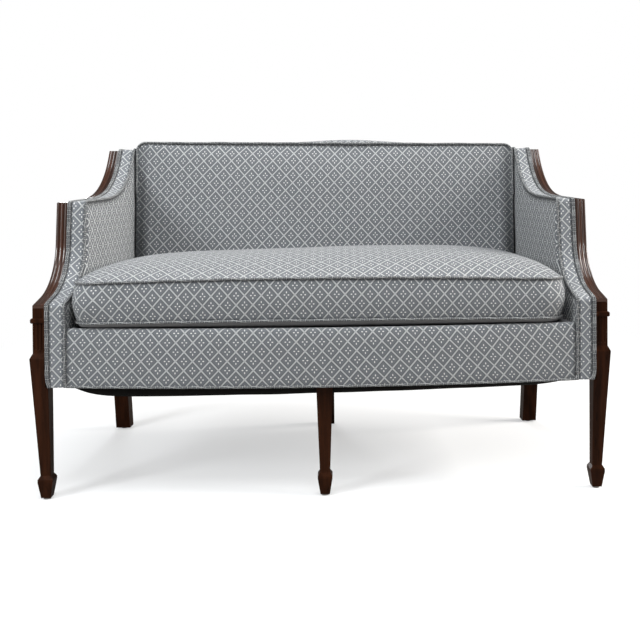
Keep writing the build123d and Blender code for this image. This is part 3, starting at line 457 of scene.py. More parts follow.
def eased(points, window):
    """Each point becomes the mean of its neighbours, which rounds sharp corners; the ends stay."""
    kernel = np.ones(2 * window + 1) / (2 * window + 1)
    padded = np.pad(points, ((window, window), (0, 0)), mode="reflect", reflect_type="odd")
    return stacked(*(np.convolve(axis, kernel, mode="valid") for axis in padded.T))


def arm_edge(drop, step=0.003, window=2):
    """The whole edge of the upholstered arm: up the front, along both sweeps, over the top to the rear."""
    arm = sizes("arm")
    lower, upper = arm_lines()
    low = lower[0] + lower[1] * drop
    high = upper[0] + upper[1] * drop
    front = min(low[0][0], drop)
    toe = np.array([front, low[0][1] + (front - low[0][0]) * math.tan(arm.toe_slope)])
    points = np.concatenate([[[front, BAND_BOTTOM]], [toe], low[1:], high[1:]])
    if drop <= 0:
        top = POST_TOP - drop + arm.lap_lift
        rear = back_point(0.0, arm.lap, back_height(POST_TOP))[1] - front_line() + arm.lap
        points = np.concatenate([points, [[high[-1, 0], top], [rear, top]]])
    return eased(evened(points, step), window)


# Meshes
def cells(rows, columns, wrap=False):
    """Corner indices of every cell of a grid, with the columns closed into a ring if wrap is true."""
    r = np.arange(rows - 1)[:, None]
    c = np.arange(columns if wrap else columns - 1)[None, :]
    n = (c + 1) % columns
    quad = np.stack([r * columns + c, r * columns + n, (r + 1) * columns + n, (r + 1) * columns + c], axis=-1)
    return quad.reshape(-1, 4)


def cell_uv(uv):
    """Cloth coordinates of each cell's corners, from a grid of them."""
    return np.stack([uv[:-1, :-1], uv[:-1, 1:], uv[1:, 1:], uv[1:, :-1]], axis=-2).reshape(-1, 4, 2)


class Builder:
    """Gathers grids of points and cloth coordinates into one mesh."""

    def __init__(self):
        self.points, self.faces, self.uv, self.slots, self.marks, self.count = [], [], [], [], [], 0

    def grid(self, points, uv, wrap=False, slot=0, seam=0.0):
        """Add a grid of points; uv has one more column than the points where the grid is a ring."""
        rows, columns = points.shape[:2]
        # seam holds the painted shade in creases at each point
        self.marks.append(np.broadcast_to(seam, (rows, columns)).ravel())
        quads = cells(rows, columns, wrap) + self.count
        self.points.append(points.reshape(-1, 3))
        self.faces.append(quads)
        self.uv.append(cell_uv(uv))
        self.slots.append(np.full(len(quads), slot))
        self.count += rows * columns
        return self

    def blocks(self, centres, half, slot=0):
        """Add a block at each centre, with the same half sizes: eight corners and six faces each."""
        corner = np.array(np.meshgrid((-1, 1), (-1, 1), (-1, 1), indexing="ij")).reshape(3, 8).T
        side = np.array([(0, 1, 3, 2), (4, 6, 7, 5), (0, 4, 5, 1), (2, 3, 7, 6), (0, 2, 6, 4), (1, 5, 7, 3)])
        points = centres[:, None] + corner * np.asarray(half)
        faces = side + 8 * np.arange(len(centres))[:, None, None] + self.count
        self.points.append(points.reshape(-1, 3))
        self.faces.append(faces.reshape(-1, 4))
        self.uv.append(np.broadcast_to(np.array([(0, 0), (1, 0), (1, 1), (0, 1)]), (6 * len(centres), 4, 2)))
        self.slots.append(np.full(6 * len(centres), slot))
        self.marks.append(np.zeros(8 * len(centres)))
        self.count += 8 * len(centres)
        return self

    def finish(self, name, materials, weld=0.0001, sharp=60.0):
        """Write the mesh, weld the seams between grids, turn faces outwards and shade smoothly."""
        mesh = bpy.data.meshes.new(name)
        faces = np.concatenate(self.faces)
        mesh.from_pydata(np.concatenate(self.points).tolist(), [], faces.tolist())
        layer = mesh.uv_layers.new(name="cloth")
        layer.data.foreach_set("uv", np.concatenate(self.uv).astype(np.float32).ravel())
        mesh.polygons.foreach_set("material_index", np.concatenate(self.slots).astype(np.int32))
        # The seam attribute carries the painted shade in creases, which darkens the patterned cloth
        shade_layer = mesh.attributes.new("seam", "FLOAT", "POINT")
        shade_layer.data.foreach_set("value", np.concatenate(self.marks).astype(np.float32))
        made = bmesh.new()
        made.from_mesh(mesh)
        bmesh.ops.remove_doubles(made, verts=made.verts, dist=weld)
        bmesh.ops.dissolve_degenerate(made, edges=made.edges, dist=weld / 10)
        bmesh.ops.recalc_face_normals(made, faces=made.faces)
        made.to_mesh(mesh)
        made.free()
        mesh.shade_smooth()
        mesh.set_sharp_from_angle(angle=math.radians(sharp))
        for material in materials:
            mesh.materials.append(material)
        piece = bpy.data.objects.new(name, mesh)
        bpy.context.scene.collection.objects.link(piece)
        return piece


def rim_of(grid):
    """The outer ring of a grid, in order."""
    return np.concatenate([grid[0, :-1], grid[:-1, -1], grid[-1, :0:-1], grid[:0:-1, 0]])


def ring_length(ring):
    """Length along a closed ring up to each of its points, with the whole length last."""
    return np.concatenate([[0], np.cumsum(np.linalg.norm(np.roll(ring, -1, axis=0) - ring, axis=1))])


def around_ring(ring):
    """Vectors along a closed ring, from the point before to the point after each."""
    return np.roll(ring, -1, axis=0) - np.roll(ring, 1, axis=0)


def crease_shade(far, reach):
    """Painted shade in creases at a distance from the seam: 1 within a third of its reach, none beyond the
    reach.
    """
    return smooth(way(far, reach, 0.33 * reach))


def rim_shade(grid, reach):
    """The painted shade in creases along a grid's rim."""
    far = [np.linalg.norm(grid - edge, axis=-1) for edge in (grid[:1], grid[-1:], grid[:, :1], grid[:, -1:])]
    return crease_shade(np.minimum.reduce(far), reach)


def shell(front, back, uv, rows=2, push=0.0, slots=(0, 0, 0), seam=PLAIN_SEAM_SHADE, laid=(1.0, 0.0, 0.0)):
    """A builder with a closed skin: a front grid, a back grid and a boxing of some rows between their rims.

    The boxing runs straight from rim to rim and swells by push times the sine of the way across. The seam is
    the reach of the painted shade in creases along the rim, or that painted shade at every point of the
    front, and the boxing gets such painted shade beside both its seams. The boxing's cloth is laid with a
    scale along the rim and a shift along and up.
    """
    # Painted shade in creases on the front: along its rim, or as given
    dark = rim_shade(front, seam) if np.ndim(seam) == 0 else seam
    builder = Builder().grid(front, uv, slot=slots[0], seam=dark).grid(back, uv, slot=slots[2])
    rim_front, rim_back = rim_of(front), rim_of(back)
    t = np.linspace(0, 1, rows)[:, None, None]
    boxing = rim_front + (rim_back - rim_front) * t + push * np.sin(math.pi * t)
    run = ring_length(rim_front) * laid[0] + laid[1]
    fall = np.linalg.norm(rim_back - rim_front, axis=1)
    v = rim_front[0, 2] - np.append(fall, fall[0]) * t[:, :, 0] + laid[2]
    from_seam = np.minimum(t, 1 - t)[:, :, 0] * fall
    # Painted shade in creases beside both seams of the boxing
    return builder.grid(boxing, stacked(run, v), wrap=True, slot=slots[1], seam=crease_shade(from_seam, PLAIN_SEAM_SHADE))


def tube(builder, path, radius, reference, closed=False, sides=12):
    """A round cord along a path: a ring of points square to the path at each of its points.

    One axis of the ring is the reference direction made square to the path; cloth runs along and around.
    """
    ahead = unit(around_ring(path) if closed else np.gradient(path, axis=0))
    side = unit(np.cross(np.broadcast_to(reference, path.shape), ahead))
    up = np.cross(ahead, side)
    a = np.linspace(0, 2 * math.pi, sides, endpoint=False)[None, :, None]
    rings = path[:, None] + radius * (np.cos(a) * side[:, None] + np.sin(a) * up[:, None])
    if closed:
        rings = np.concatenate([rings, rings[:1]])
        path = np.concatenate([path, path[:1]])
    around = np.linspace(0, 2 * math.pi * radius, sides + 1)
    builder.grid(rings, stacked(run_along(path)[:, None], around), wrap=True)
    if not closed:
        for end in (0, -1):
            cap = np.stack([rings[end], np.broadcast_to(path[end], rings[end].shape)])
            builder.grid(cap, np.zeros((2, sides + 1, 2)), wrap=True)
    return builder


def swell(u, w, sharp):
    """A crown that is 1 in the middle and falls to 0 at every edge: (1 - |u|^sharp) (1 - |w|^sharp)."""
    return (1 - np.abs(u) ** sharp) * (1 - np.abs(w) ** sharp)


def grid_of(rows, columns):
    """Two grids of parameters from -1 to 1: u along the columns and w down the rows."""
    return np.meshgrid(np.linspace(-1, 1, columns), np.linspace(-1, 1, rows))


def unevenness(x, y, size, pitch):
    """Gentle hollows and swells of hand-laid stuffing: three crossed sine waves of differing pitch."""
    k = 2 * math.pi / pitch
    return size * (np.sin(k * x + 0.6) * np.cos(0.8 * k * y - 0.4) + 0.6 * np.sin(1.7 * k * x + 1.1 * k * y)
                   + 0.4 * np.cos(2.3 * k * y - 0.9 * k * x + 1.3)) / 2


def drawn(x, z, middle, lean, fan, shift):
    """Cloth coordinates of a cover pulled askew: x' = x + (z - middle) (lean + fan x), then shifted."""
    return stacked(x + (z - middle) * (lean + fan * x), z) + shift


def inflate(piece, held, pressure, cap, room=None, frames=20):
    """Blow the cloth up from inside for some frames with held points pinned, and cap how far a point goes.

    A point that would move by m moves by cap * tanh(m / cap), and room then keeps it clear of what is near.
    """
    scene = bpy.context.scene
    mesh = piece.data
    before = np.empty(len(mesh.vertices) * 3)
    mesh.vertices.foreach_get("co", before)
    before = before.reshape(-1, 3)
    pins = piece.vertex_groups.new(name="pinned")
    pins.add(np.flatnonzero(held(before)).tolist(), 1.0, "REPLACE")
    cloth = piece.modifiers.new("Filling", "CLOTH")
    cloth.settings.vertex_group_mass = pins.name
    cloth.settings.use_pressure = True
    cloth.settings.uniform_pressure_force = pressure
    cloth.settings.effector_weights.gravity = 0.0
    cloth.point_cache.frame_start = 1
    cloth.point_cache.frame_end = frames
    for tick in range(1, frames + 1):
        scene.frame_set(tick)
    blown = piece.evaluated_get(bpy.context.evaluated_depsgraph_get())
    after = np.empty(len(before) * 3)
    blown.data.vertices.foreach_get("co", after)
    move = after.reshape(-1, 3) - before
    far = np.linalg.norm(move, axis=1, keepdims=True)
    piece.modifiers.remove(cloth)
    piece.vertex_groups.remove(pins)
    settled = before + move * (cap * np.tanh(far / cap) / np.maximum(far, 1e-9))
    if room:
        settled = room(settled)
    mesh.vertices.foreach_set("co", settled.ravel())
    mesh.update()
    scene.frame_set(1)


def refine(piece):
    """One round of subdivision to finish a soft piece."""
    finish = piece.modifiers.new("Smooth", "SUBSURF")
    finish.levels = finish.render_levels = 1
    finish.uv_smooth = "PRESERVE_BOUNDARIES"


def dress(piece, body, slot, *nodes):
    """Fasten a piece to a body and let it stand for nodes of the frame, which it hides; slot is not used."""
    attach(piece, body)
    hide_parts(*nodes)


# Shader trees
class Tree:
    """Short hand for wiring the nodes of one material or group."""

    def __init__(self, tree):
        self.tree = tree

    def add(self, kind, inputs=None, **settings):
        """A node with its settings, and each input given a value or the socket that feeds it."""
        node = self.tree.nodes.new(kind)
        for name, value in settings.items():
            setattr(node, name, value)
        return self.fill(node, inputs or {})

    def fill(self, node, inputs):
        """Give inputs of a node, by name or number, a value or the socket that feeds them."""
        for name, value in inputs.items():
            self.feed(node.inputs[name], value)
        return node

    def feed(self, socket, value):
        """Link an input to the socket that feeds it, or set its value."""
        if isinstance(value, bpy.types.NodeSocket):
            self.tree.links.new(value, socket)
        else:
            socket.default_value = value

    def math(self, operation, *values):
        """One sum on values or sockets."""
        return self.add("ShaderNodeMath", dict(enumerate(values)), operation=operation).outputs[0]

    times = partialmethod(math, "MULTIPLY")
    plus = partialmethod(math, "ADD")
    minus = partialmethod(math, "SUBTRACT")
    over = partialmethod(math, "DIVIDE")
    size = partialmethod(math, "ABSOLUTE")

    def ramp(self, value, low, high):
        """0 below low and 1 above high, smooth between."""
        node = self.add("ShaderNodeMapRange", {"Value": value, "From Min": low, "From Max": high},
                        interpolation_type="SMOOTHSTEP")
        return node.outputs["Result"]

    def mix(self, factor, first, second):
        """Two colours mixed by a factor; the node's inputs 6 and 7 and its output 2 are colours."""
        return self.add("ShaderNodeMix", {0: factor, 6: first, 7: second}, data_type="RGBA").outputs[2]

    def noise(self, place, scale, detail):
        """Soft noise from 0 to 1 at a place."""
        node = self.add("ShaderNodeTexNoise", {"Vector": place, "Scale": scale, "Detail": detail})
        return node.outputs["Fac"]


def shader_group(name, inputs, outputs, wire):
    """A node group made once, with sockets by name and kind, wired by a function of its tree and inputs."""
    if name in bpy.data.node_groups:
        return bpy.data.node_groups[name]
    group = bpy.data.node_groups.new(name, "ShaderNodeTree")
    for way_in, sockets in (("INPUT", inputs), ("OUTPUT", outputs)):
        for socket, kind in sockets.items():
            group.interface.new_socket(socket, in_out=way_in, socket_type="NodeSocket" + kind)
    tree = Tree(group)
    entry = group.nodes.new("NodeGroupInput")
    leave = group.nodes.new("NodeGroupOutput")
    for socket, value in wire(tree, entry.outputs).items():
        group.links.new(value, leave.inputs[socket])
    return group


def lattice_group():
    """Diamond lattice with four petals in each diamond, from cloth coordinates in metres.

    With a = x / pitch_x + y / pitch_y and b = x / pitch_x - y / pitch_y, lines lie where a or b is whole.
    Lines fade a little where they cross, and a dark gutter runs beside them. Inside a diamond the offsets
    from its middle give the petals as two pairs of ellipses, the upper and lower ones further out and longer
    than those at the sides.
    """
    def wire(tree, given):
        apart = tree.add("ShaderNodeSeparateXYZ", {"Vector": given["Vector"]})
        across = tree.over(apart.outputs["X"], given["Pitch X"])
        along = tree.over(apart.outputs["Y"], given["Pitch Y"])
        a = tree.minus(tree.math("FRACT", tree.plus(across, along)), 0.5)
        b = tree.minus(tree.math("FRACT", tree.minus(across, along)), 0.5)
        first = tree.math("MAXIMUM", tree.size(a), tree.size(b))
        second = tree.math("MINIMUM", tree.size(a), tree.size(b))
        from_line = tree.times(tree.minus(0.5, first), tree.times(given["Pitch X"], 0.72))
        half = tree.times(given["Line"], 0.5)
        line = tree.minus(1.0, tree.ramp(from_line, tree.times(half, 0.75), tree.times(half, 1.25)))
        gutter = tree.minus(1.0, tree.ramp(from_line, half, tree.times(half, 3.2)))
        x = tree.size(tree.times(tree.plus(a, b), tree.times(given["Pitch X"], 0.5)))
        y = tree.size(tree.times(tree.minus(a, b), tree.times(given["Pitch Y"], 0.5)))

        def petal(far, near, out, half_long, half_wide):
            """Distance from a petal's middle, 1 on its outline; its sizes are shares of the reach."""
            reach = given["Petal"]
            long = tree.over(tree.minus(far, tree.times(reach, out)), tree.times(reach, half_long))
            wide = tree.over(near, tree.times(reach, half_wide))
            return tree.plus(tree.math("POWER", tree.size(long), 1.8), tree.math("POWER", wide, 1.8))

        petals = tree.math("MINIMUM", petal(x, y, 0.88, 0.38, 0.25), petal(y, x, 1.10, 0.44, 0.23))
        dots = tree.minus(1.0, tree.ramp(petals, 0.5, 1.5))
        faint = tree.minus(1.0, tree.times(tree.ramp(second, 0.40, 0.50), 0.25))
        ground = tree.mix(tree.times(gutter, 0.55), given["Ground"], given["Gutter"])
        lined = tree.mix(tree.times(line, faint), ground, given["Lattice"])
        return {"Color": tree.mix(dots, lined, given["Thread"]), "Figure": tree.math("MAXIMUM", line, dots)}

    return shader_group(
        "Diamond lattice",
        {"Vector": "Vector", "Pitch X": "Float", "Pitch Y": "Float", "Line": "Float", "Petal": "Float",
         "Ground": "Color", "Gutter": "Color", "Lattice": "Color", "Thread": "Color"},
        {"Color": "Color", "Figure": "Float"}, wire)


def weave_group():
    """Plain weave: warp and weft ridges that take turns on top, and a slow change of shade between yarns."""
    def wire(tree, given):
        apart = tree.add("ShaderNodeSeparateXYZ", {"Vector": given["Vector"]})
        turns = [tree.over(apart.outputs[k], given["Pitch"]) for k in "XY"]
        ridges = [tree.size(tree.math("SINE", tree.times(t, math.pi))) for t in turns]
        whole = tree.plus(tree.math("FLOOR", turns[0]), tree.math("FLOOR", turns[1]))
        odd = tree.times(tree.math("FRACT", tree.times(whole, 0.5)), 2.0)
        first = tree.times(ridges[0], odd)
        second = tree.times(ridges[1], tree.minus(1.0, odd))
        height = tree.plus(first, second)
        shade = tree.noise(given["Vector"], 55.0, 3.0)
        slub = tree.noise(given["Vector"], 900.0, 1.0)
        return {"Height": height, "Shade": tree.plus(tree.times(shade, 0.7), tree.times(slub, 0.3))}

    return shader_group("Plain weave", {"Vector": "Vector", "Pitch": "Float"},
                        {"Height": "Float", "Shade": "Float"}, wire)


def grain_group():
    """Straight wood grain: noise drawn out along one axis, fine pores over it, and slow patches of shade."""
    def wire(tree, given):
        long = tree.add("ShaderNodeVectorMath", {0: given["Vector"], 1: given["Draw"]}, operation="MULTIPLY")
        figure = tree.noise(long.outputs[0], 60.0, 5.0)
        pores = tree.noise(long.outputs[0], 420.0, 2.0)
        patches = tree.noise(given["Vector"], 9.0, 2.0)
        tone = tree.plus(tree.times(tree.ramp(figure, 0.32, 0.70), 0.75), tree.times(patches, 0.45))
        dark = tree.minus(tone, tree.times(tree.ramp(pores, 0.58, 0.72), 0.35))
        return {"Tone": dark, "Pores": pores}

    return shader_group("Wood grain", {"Vector": "Vector", "Draw": "Vector"},
                        {"Tone": "Float", "Pores": "Float"}, wire)


def new_material(name):
    """An empty material with its shader and output, and a tree to wire."""
    material = bpy.data.materials.new(name)
    material.use_nodes = True
    tree = Tree(material.node_tree)
    return material, tree, material.node_tree.nodes["Principled BSDF"]


def bump(tree, height, strength, distance):
    """A normal roughened by a height."""
    node = tree.add("ShaderNodeBump", {"Height": height, "Strength": strength, "Distance": distance})
    return node.outputs["Normal"]


def rgba(value):
    """A colour with full alpha."""
    return (*value, 1.0)


def new_cloth(name, sheen):
    """A material with the settings that all cloth shares."""
    material, tree, bsdf = new_material(name)
    tree.fill(bsdf, {"Roughness": 0.86, "Specular IOR Level": 0.2 if sheen else 0.03,
                     "Sheen Weight": sheen, "Sheen Roughness": 0.5})
    return material, tree, bsdf


def lattice_cloth(name):
    """One cut of the patterned cover cloth, on the piece's own cloth coordinates, painted shade along its
    seams.
    """
    finish = sizes("finish")
    turn, shade, fine, tone = CUTS[name]
    material, tree, bsdf = new_cloth(name, 0.15)
    uv = tree.add("ShaderNodeUVMap", uv_map="cloth").outputs["UV"]
    laid = tree.add("ShaderNodeMapping", {"Vector": uv, "Rotation": (0.0, 0.0, math.radians(turn))})
    place = laid.outputs["Vector"]
    ground = np.array(finish.ground) * shade
    figure = tree.add("ShaderNodeGroup", {
        "Vector": place, "Pitch X": finish.pitch_x * fine, "Pitch Y": finish.pitch_y * fine,
        "Line": finish.line * fine ** 0.5, "Petal": finish.petal * fine,
        "Ground": rgba(ground), "Gutter": rgba(ground * 0.45),
        "Lattice": rgba(np.array(finish.lattice) * tone), "Thread": rgba(np.array(finish.thread) * tone),
    }, node_tree=lattice_group())
    weave = tree.add("ShaderNodeGroup", {"Vector": place, "Pitch": finish.yarn}, node_tree=weave_group())
    dull = tree.times(weave.outputs["Shade"], 0.25)
    dulled = tree.mix(dull, figure.outputs["Color"], rgba(ground * 0.5))
    # Painted shade: by the seam attribute the colour falls towards 0.12 of the ground, for shade in creases
    seam = tree.add("ShaderNodeAttribute", attribute_name="seam").outputs["Fac"]
    crease_shaded = tree.mix(tree.times(seam, 0.85), dulled, rgba(ground * 0.12))
    raised = tree.times(figure.outputs["Figure"], 1.2)
    height = tree.plus(raised, weave.outputs["Height"])
    tree.fill(bsdf, {"Base Color": crease_shaded, "Normal": bump(tree, height, 0.5, 0.0006)})
    return material


def plain_cloth(name, value, pitch, sheen=0.15):
    """A plain woven cloth of one colour, uneven from yarn to yarn."""
    material, tree, bsdf = new_cloth(name, sheen)
    place = tree.add("ShaderNodeTexCoord").outputs["Object"]
    weave = tree.add("ShaderNodeGroup", {"Vector": place, "Pitch": pitch}, node_tree=weave_group())
    tone = np.array(value)
    mixed = tree.mix(weave.outputs["Shade"], rgba(tone * 1.3), rgba(tone * 0.6))
    tree.fill(bsdf, {"Base Color": mixed, "Normal": bump(tree, weave.outputs["Height"], 0.6, pitch / 3)})
    return material


def wood(name, dark, light, draw, polish, roughness, on_uv=False):
    """Wood with its grain drawn out along one axis, under polish."""
    material, tree, bsdf = new_material(name)
    if on_uv:
        place = tree.add("ShaderNodeUVMap", uv_map="cloth").outputs["UV"]
    else:
        place = tree.add("ShaderNodeTexCoord").outputs["Object"]
    grain = tree.add("ShaderNodeGroup", {"Vector": place, "Draw": draw}, node_tree=grain_group())
    pores = grain.outputs["Pores"]
    rough = tree.add("ShaderNodeMapRange", {"Value": pores, "To Min": roughness, "To Max": roughness + 0.18})
    tree.fill(bsdf, {"Base Color": tree.mix(grain.outputs["Tone"], rgba(dark), rgba(light)),
                     "Roughness": rough.outputs["Result"], "Specular IOR Level": 0.5 * polish,
                     "Coat Weight": polish, "Coat Roughness": 0.10,
                     "Normal": bump(tree, pores, 0.15, 0.0003)})
    return material


def metal(name, value, roughness):
    """Worn metal: scratches and tarnish change its roughness and colour."""
    material, tree, bsdf = new_material(name)
    place = tree.add("ShaderNodeTexCoord").outputs["Object"]
    tarnish = tree.noise(place, 120.0, 4.0)
    tone = np.array(value)
    rough = tree.add("ShaderNodeMapRange", {"Value": tarnish, "To Min": roughness, "To Max": roughness + 0.3})
    tree.fill(bsdf, {"Base Color": tree.mix(tarnish, rgba(tone), rgba(tone * 0.45)), "Metallic": 1.0,
                     "Roughness": rough.outputs["Result"]})
    return material


def mahogany(name, on_sweep):
    """The show-wood: its grain runs up the legs, or along a sweep, which is more polished and painted
    brighter.
    """
    finish = sizes("finish")
    draw = (0.05, 1.0, 1.0) if on_sweep else (1.0, 1.0, 0.05)
    # Painted light: the sweeps' colours are 1.85 times the legs', for the light that falls on the arms from
    # above
    painted_light_gain = 1.85 if on_sweep else 1.0
    dark, light = np.array(finish.wood_dark) * painted_light_gain, np.array(finish.wood_light) * painted_light_gain
    return wood(name, dark, light, draw, polish=0.75 if on_sweep else 0.05, roughness=0.28, on_uv=on_sweep)


def finish_named(name, make):
    """A material made the first time that it is asked for."""
    return bpy.data.materials.get(name) or make(name)


def cover_cloth(cut="lattice_cloth"):
    """The patterned cloth in one of its cuts."""
    return finish_named(cut, lattice_cloth)


def deck_cloth():
    """Plain grey cloth of the deck and of the cushion's underside."""
    return finish_named("deck_cloth", lambda name: plain_cloth(name, sizes("finish").deck, 0.0012))


def sew_welt(builder, name, body="frame"):
    """Cords made into one piece of bias cloth with painted shade, standing for the frame's welt of that name.
    """
    dress(builder.finish(name + "_cord", [cover_cloth("bias_cloth")]), body, "welt_fabric", name)


class SETTEE_OT_frame_finishes(bpy.types.Operator):
    """Give every node of the frame that stays its own finish"""
    bl_idname = "settee.frame_finishes"
    bl_label = "Frame finishes"

    def execute(self, context):
        """Each node by its slot; plain cloth lines the crest rail, whose ends show beside the back."""
        jute = plain_cloth("jute", (0.34, 0.24, 0.14), 0.0028, sheen=0.1)
        sawn = wood("sawn_hardwood", (0.30, 0.19, 0.10), (0.55, 0.40, 0.25), (0.05, 1.0, 1.0),
                    polish=0.0, roughness=0.6)
        finishes = {
            "mahogany": mahogany("mahogany_legs", on_sweep=False),
            "frame_wood": sawn,
            "glide_metal": metal("glide_nickel", (0.50, 0.48, 0.45), 0.35),
            "steel": metal("spring_steel", (0.42, 0.42, 0.43), 0.35),
            "zip_metal": metal("dull_brass", (0.52, 0.38, 0.18), 0.32),
            "burlap": jute,
            "padding": plain_cloth("felt", (0.62, 0.58, 0.50), 0.004),
            "zip_tape": plain_cloth("zip_tape", (0.10, 0.105, 0.115), 0.0009),
        }
        for row in frame["record"]["subparts"]:
            slot = "lining" if row["node"] == "crest_rail" else row["material_slot"]
            mesh = frame["nodes"][row["node"]].data
            mesh.materials.clear()
            mesh.materials.append(finishes.get(slot, deck_cloth()))
        return {"FINISHED"}


class SETTEE_OT_arm_wood(bpy.types.Operator):
    """Sweep the reeded wood along the arms"""
    bl_idname = "settee.arm_wood"
    bl_label = "Arm wood"

    def profile(self):
        """Across the wood as a closed ring of (d, drop): round reeds on top, eased lower edges.

        Over one reed the drop is groove * (1 - sqrt(1 - q^2)), with q from -1 to 1 across the reed.
        """
        arm = sizes("arm")
        q = np.linspace(-0.985, 0.985, 9)
        reed = arm.groove * (1 - np.sqrt(1 - q ** 2))
        d = (np.arange(arm.reeds)[:, None] + (q + 1) / 2) * (arm.wood / arm.reeds)
        top = stacked(d, reed).reshape(-1, 2)
        inner = [(arm.wood, arm.depth - arm.bead), (arm.wood - arm.bead, arm.depth)]
        outer = [(arm.bead, arm.depth), (0.0, arm.depth - arm.bead)]
        return np.concatenate([top, inner, outer])

    def execute(self, context):
        ring = self.profile()
        around = ring_length(ring)
        polish = mahogany("mahogany_sweeps", on_sweep=True)
        for side, sign in SIDES:
            for name, (base, inward) in zip(("arm_post", "arm_sweep"), arm_lines(0.003)):
                at = base[:, None] + inward[:, None] * ring[None, :, 1:]
                if name == "arm_post":
                    at[..., 1] = np.maximum(at[..., 1], LEG_TOP)
                rings = arm_point(at, ring[:, 0], sign)
                uv = stacked(run_along(base)[:, None], around)
                builder = Builder().grid(rings, uv, wrap=True)
                for end in (0, -1):
                    flat = np.stack([rings[end], np.broadcast_to(rings[end].mean(axis=0), rings[end].shape)])
                    builder.grid(flat, np.stack([uv[end], uv[end] * 0.5]), wrap=True)
                piece = builder.finish(side + "_" + name + "_reeded", [polish], weld=0.00002, sharp=50.0)
                dress(piece, "frame", "mahogany", side + "_" + name)
        return {"FINISHED"}


class SETTEE_OT_arm_covers(bpy.types.Operator):
    """Cover the arms inside, along the facing strip and outside"""
    bl_idname = "settee.arm_covers"
    bl_label = "Arm covers"

    def panel(self, drop, top_ends, low_ends, low, columns, rows=40):
        """A grid under the arm's edge, as places (s, z), with the way across and down it from -1 to 1.

        Its top follows the edge between two depths. Straight lines run from the top's points down to points
        spread evenly between two other depths.
        """
        edge = arm_edge(drop, window=1)
        edge = edge[np.argmax(edge[:, 1] > LEG_TOP):]
        between = (edge[:, 0] > top_ends[0]) & (edge[:, 0] < top_ends[1])
        s = np.concatenate([top_ends[:1], edge[between, 0], top_ends[1:]])
        top = spread(stacked(s, np.interp(s, edge[:, 0], edge[:, 1])), columns)
        part = (top[:, 0] - top[0, 0]) / (top[-1, 0] - top[0, 0])
        foot = stacked(low_ends[0] + part * (low_ends[1] - low_ends[0]), low)
        w = np.linspace(0, 1, rows)[:, None]
        return top + (foot - top) * w[..., None], np.linspace(-1, 1, columns), 2 * w - 1

    def execute(self, context):
        arm = sizes("arm")
        for side, sign in SIDES:
            self.inside(arm, side, sign)
            self.facing(arm, side, sign)
            self.outside(arm, side, sign)
        return {"FINISHED"}

    def inside(self, arm, side, sign):
        """The inside arm, swelling between its edges, over its pad."""
        at, u, w = self.panel(arm.cover_drop, (arm.cover_front, arm.cover_rear),
                              (arm.cover_front, arm.cover_foot), DECK_TOP - arm.cover_tuck, INSIDE_COLUMNS)
        slack = unevenness(at[..., 0], at[..., 1], size=0.0008, pitch=0.17)
        puff = arm.cover_swell * swell(u, w, 6.0) + slack
        front = arm_point(at, arm.thick - arm.seam_dip + puff, sign)
        back = arm_point(at, arm.thick - arm.cover_deep, sign)
        cloth = cover_cloth("arm_cloth")
        # Painted shade in creases beside the welts along the inside arm's rim
        piece = shell(front, back, at, seam=WELT_SEAM_SHADE).finish(side + "_inside_arm", [cloth])
        refine(piece)
        dress(piece, "frame", "lattice_fabric", side + "_arm_inside_cover", side + "_arm_pad")

    def facing(self, arm, side, sign):
        """The strip between the welts, carried along the arm's edge with a slight swell."""
        edge = arm_edge(0.0)
        ahead = unit(np.gradient(edge, axis=0))
        outward = stacked(-ahead[:, 1], ahead[:, 0])[:, None]
        q = np.linspace(-1, 1, 15)
        outer = arm.wood + arm.facing_gap + self.tuck(edge[:, 1:])
        d = outer + (q + 1) / 2 * (arm.thick - arm.facing_inset - outer)
        rise = arm.facing_swell * (1 - q ** 4) - arm.seam_dip
        at = edge[:, None] + outward * rise[:, None]
        under = edge[:, None] - outward * arm.facing_thick
        uv = stacked(sign * (d - arm.facing_shift), run_along(edge)[:, None])
        middle = arm.wood + 4 * sizes("trim").double_welt
        # Painted shade in creases beside the double welt and beside the single welt
        dark = np.maximum(crease_shade(np.abs(d - middle), CORD_SEAM_SHADE), crease_shade(arm.thick - d, WELT_SEAM_SHADE))
        builder = shell(arm_point(at, d, sign), arm_point(under, d, sign), uv, seam=dark)
        piece = builder.finish(side + "_facing_strip", [cover_cloth("facing_cloth")])
        dress(piece, "frame", "lattice_fabric", side + "_arm_facing")

    @staticmethod
    def tuck(z):
        """How far the strip's outer edge is drawn in near its foot: as the square of the way down to it."""
        arm = sizes("arm")
        return arm.tuck * way(z, BAND_BOTTOM + arm.tuck_height, BAND_BOTTOM) ** 2

    def outside(self, arm, side, sign):
        """The outside arm, stretched under the wood from the leg to the back post."""
        at, u, w = self.panel(arm.depth - arm.panel_lap, (arm.depth + arm.panel_step, arm.panel_rear),
                              (arm.panel_front, arm.panel_foot), BAND_BOTTOM, OUTSIDE_COLUMNS)
        front = arm_point(at, arm.panel_in - arm.panel_swell * swell(u, w, 6.0), sign)
        back = arm_point(at, arm.panel_back, sign)
        piece = shell(front, back, at).finish(side + "_outside_arm", [cover_cloth()])
        dress(piece, "frame", "lattice_fabric", side + "_outside_arm_panel")


class SETTEE_OT_arm_welts(bpy.types.Operator):
    """Lay the single and the double welt along each arm's edge"""
    bl_idname = "settee.arm_welts"
    bl_label = "Arm welts"

    def execute(self, context):
        arm, trim = sizes("arm"), sizes("trim")
        for side, sign in SIDES:
            across = arm_point(np.zeros(2), 0.0, sign) - arm_point(np.zeros(2), 1.0, sign)
            cords = {"welt": [(arm.thick - trim.welt, trim.welt)],
                     "double_welt": [(arm.wood + (2 * n + 1) * trim.double_welt, trim.double_welt)
                                     for n in range(2)]}
            for name, runs in cords.items():
                builder = Builder()
                for d, radius in runs:
                    edge = arm_edge(-radius * 0.8)
                    inwards = SETTEE_OT_arm_covers.tuck(edge[:, 1]) if name == "double_welt" else 0.0
                    tube(builder, arm_point(edge, d + inwards, sign), radius, across)
                sew_welt(builder, side + "_arm_" + name)
        return {"FINISHED"}


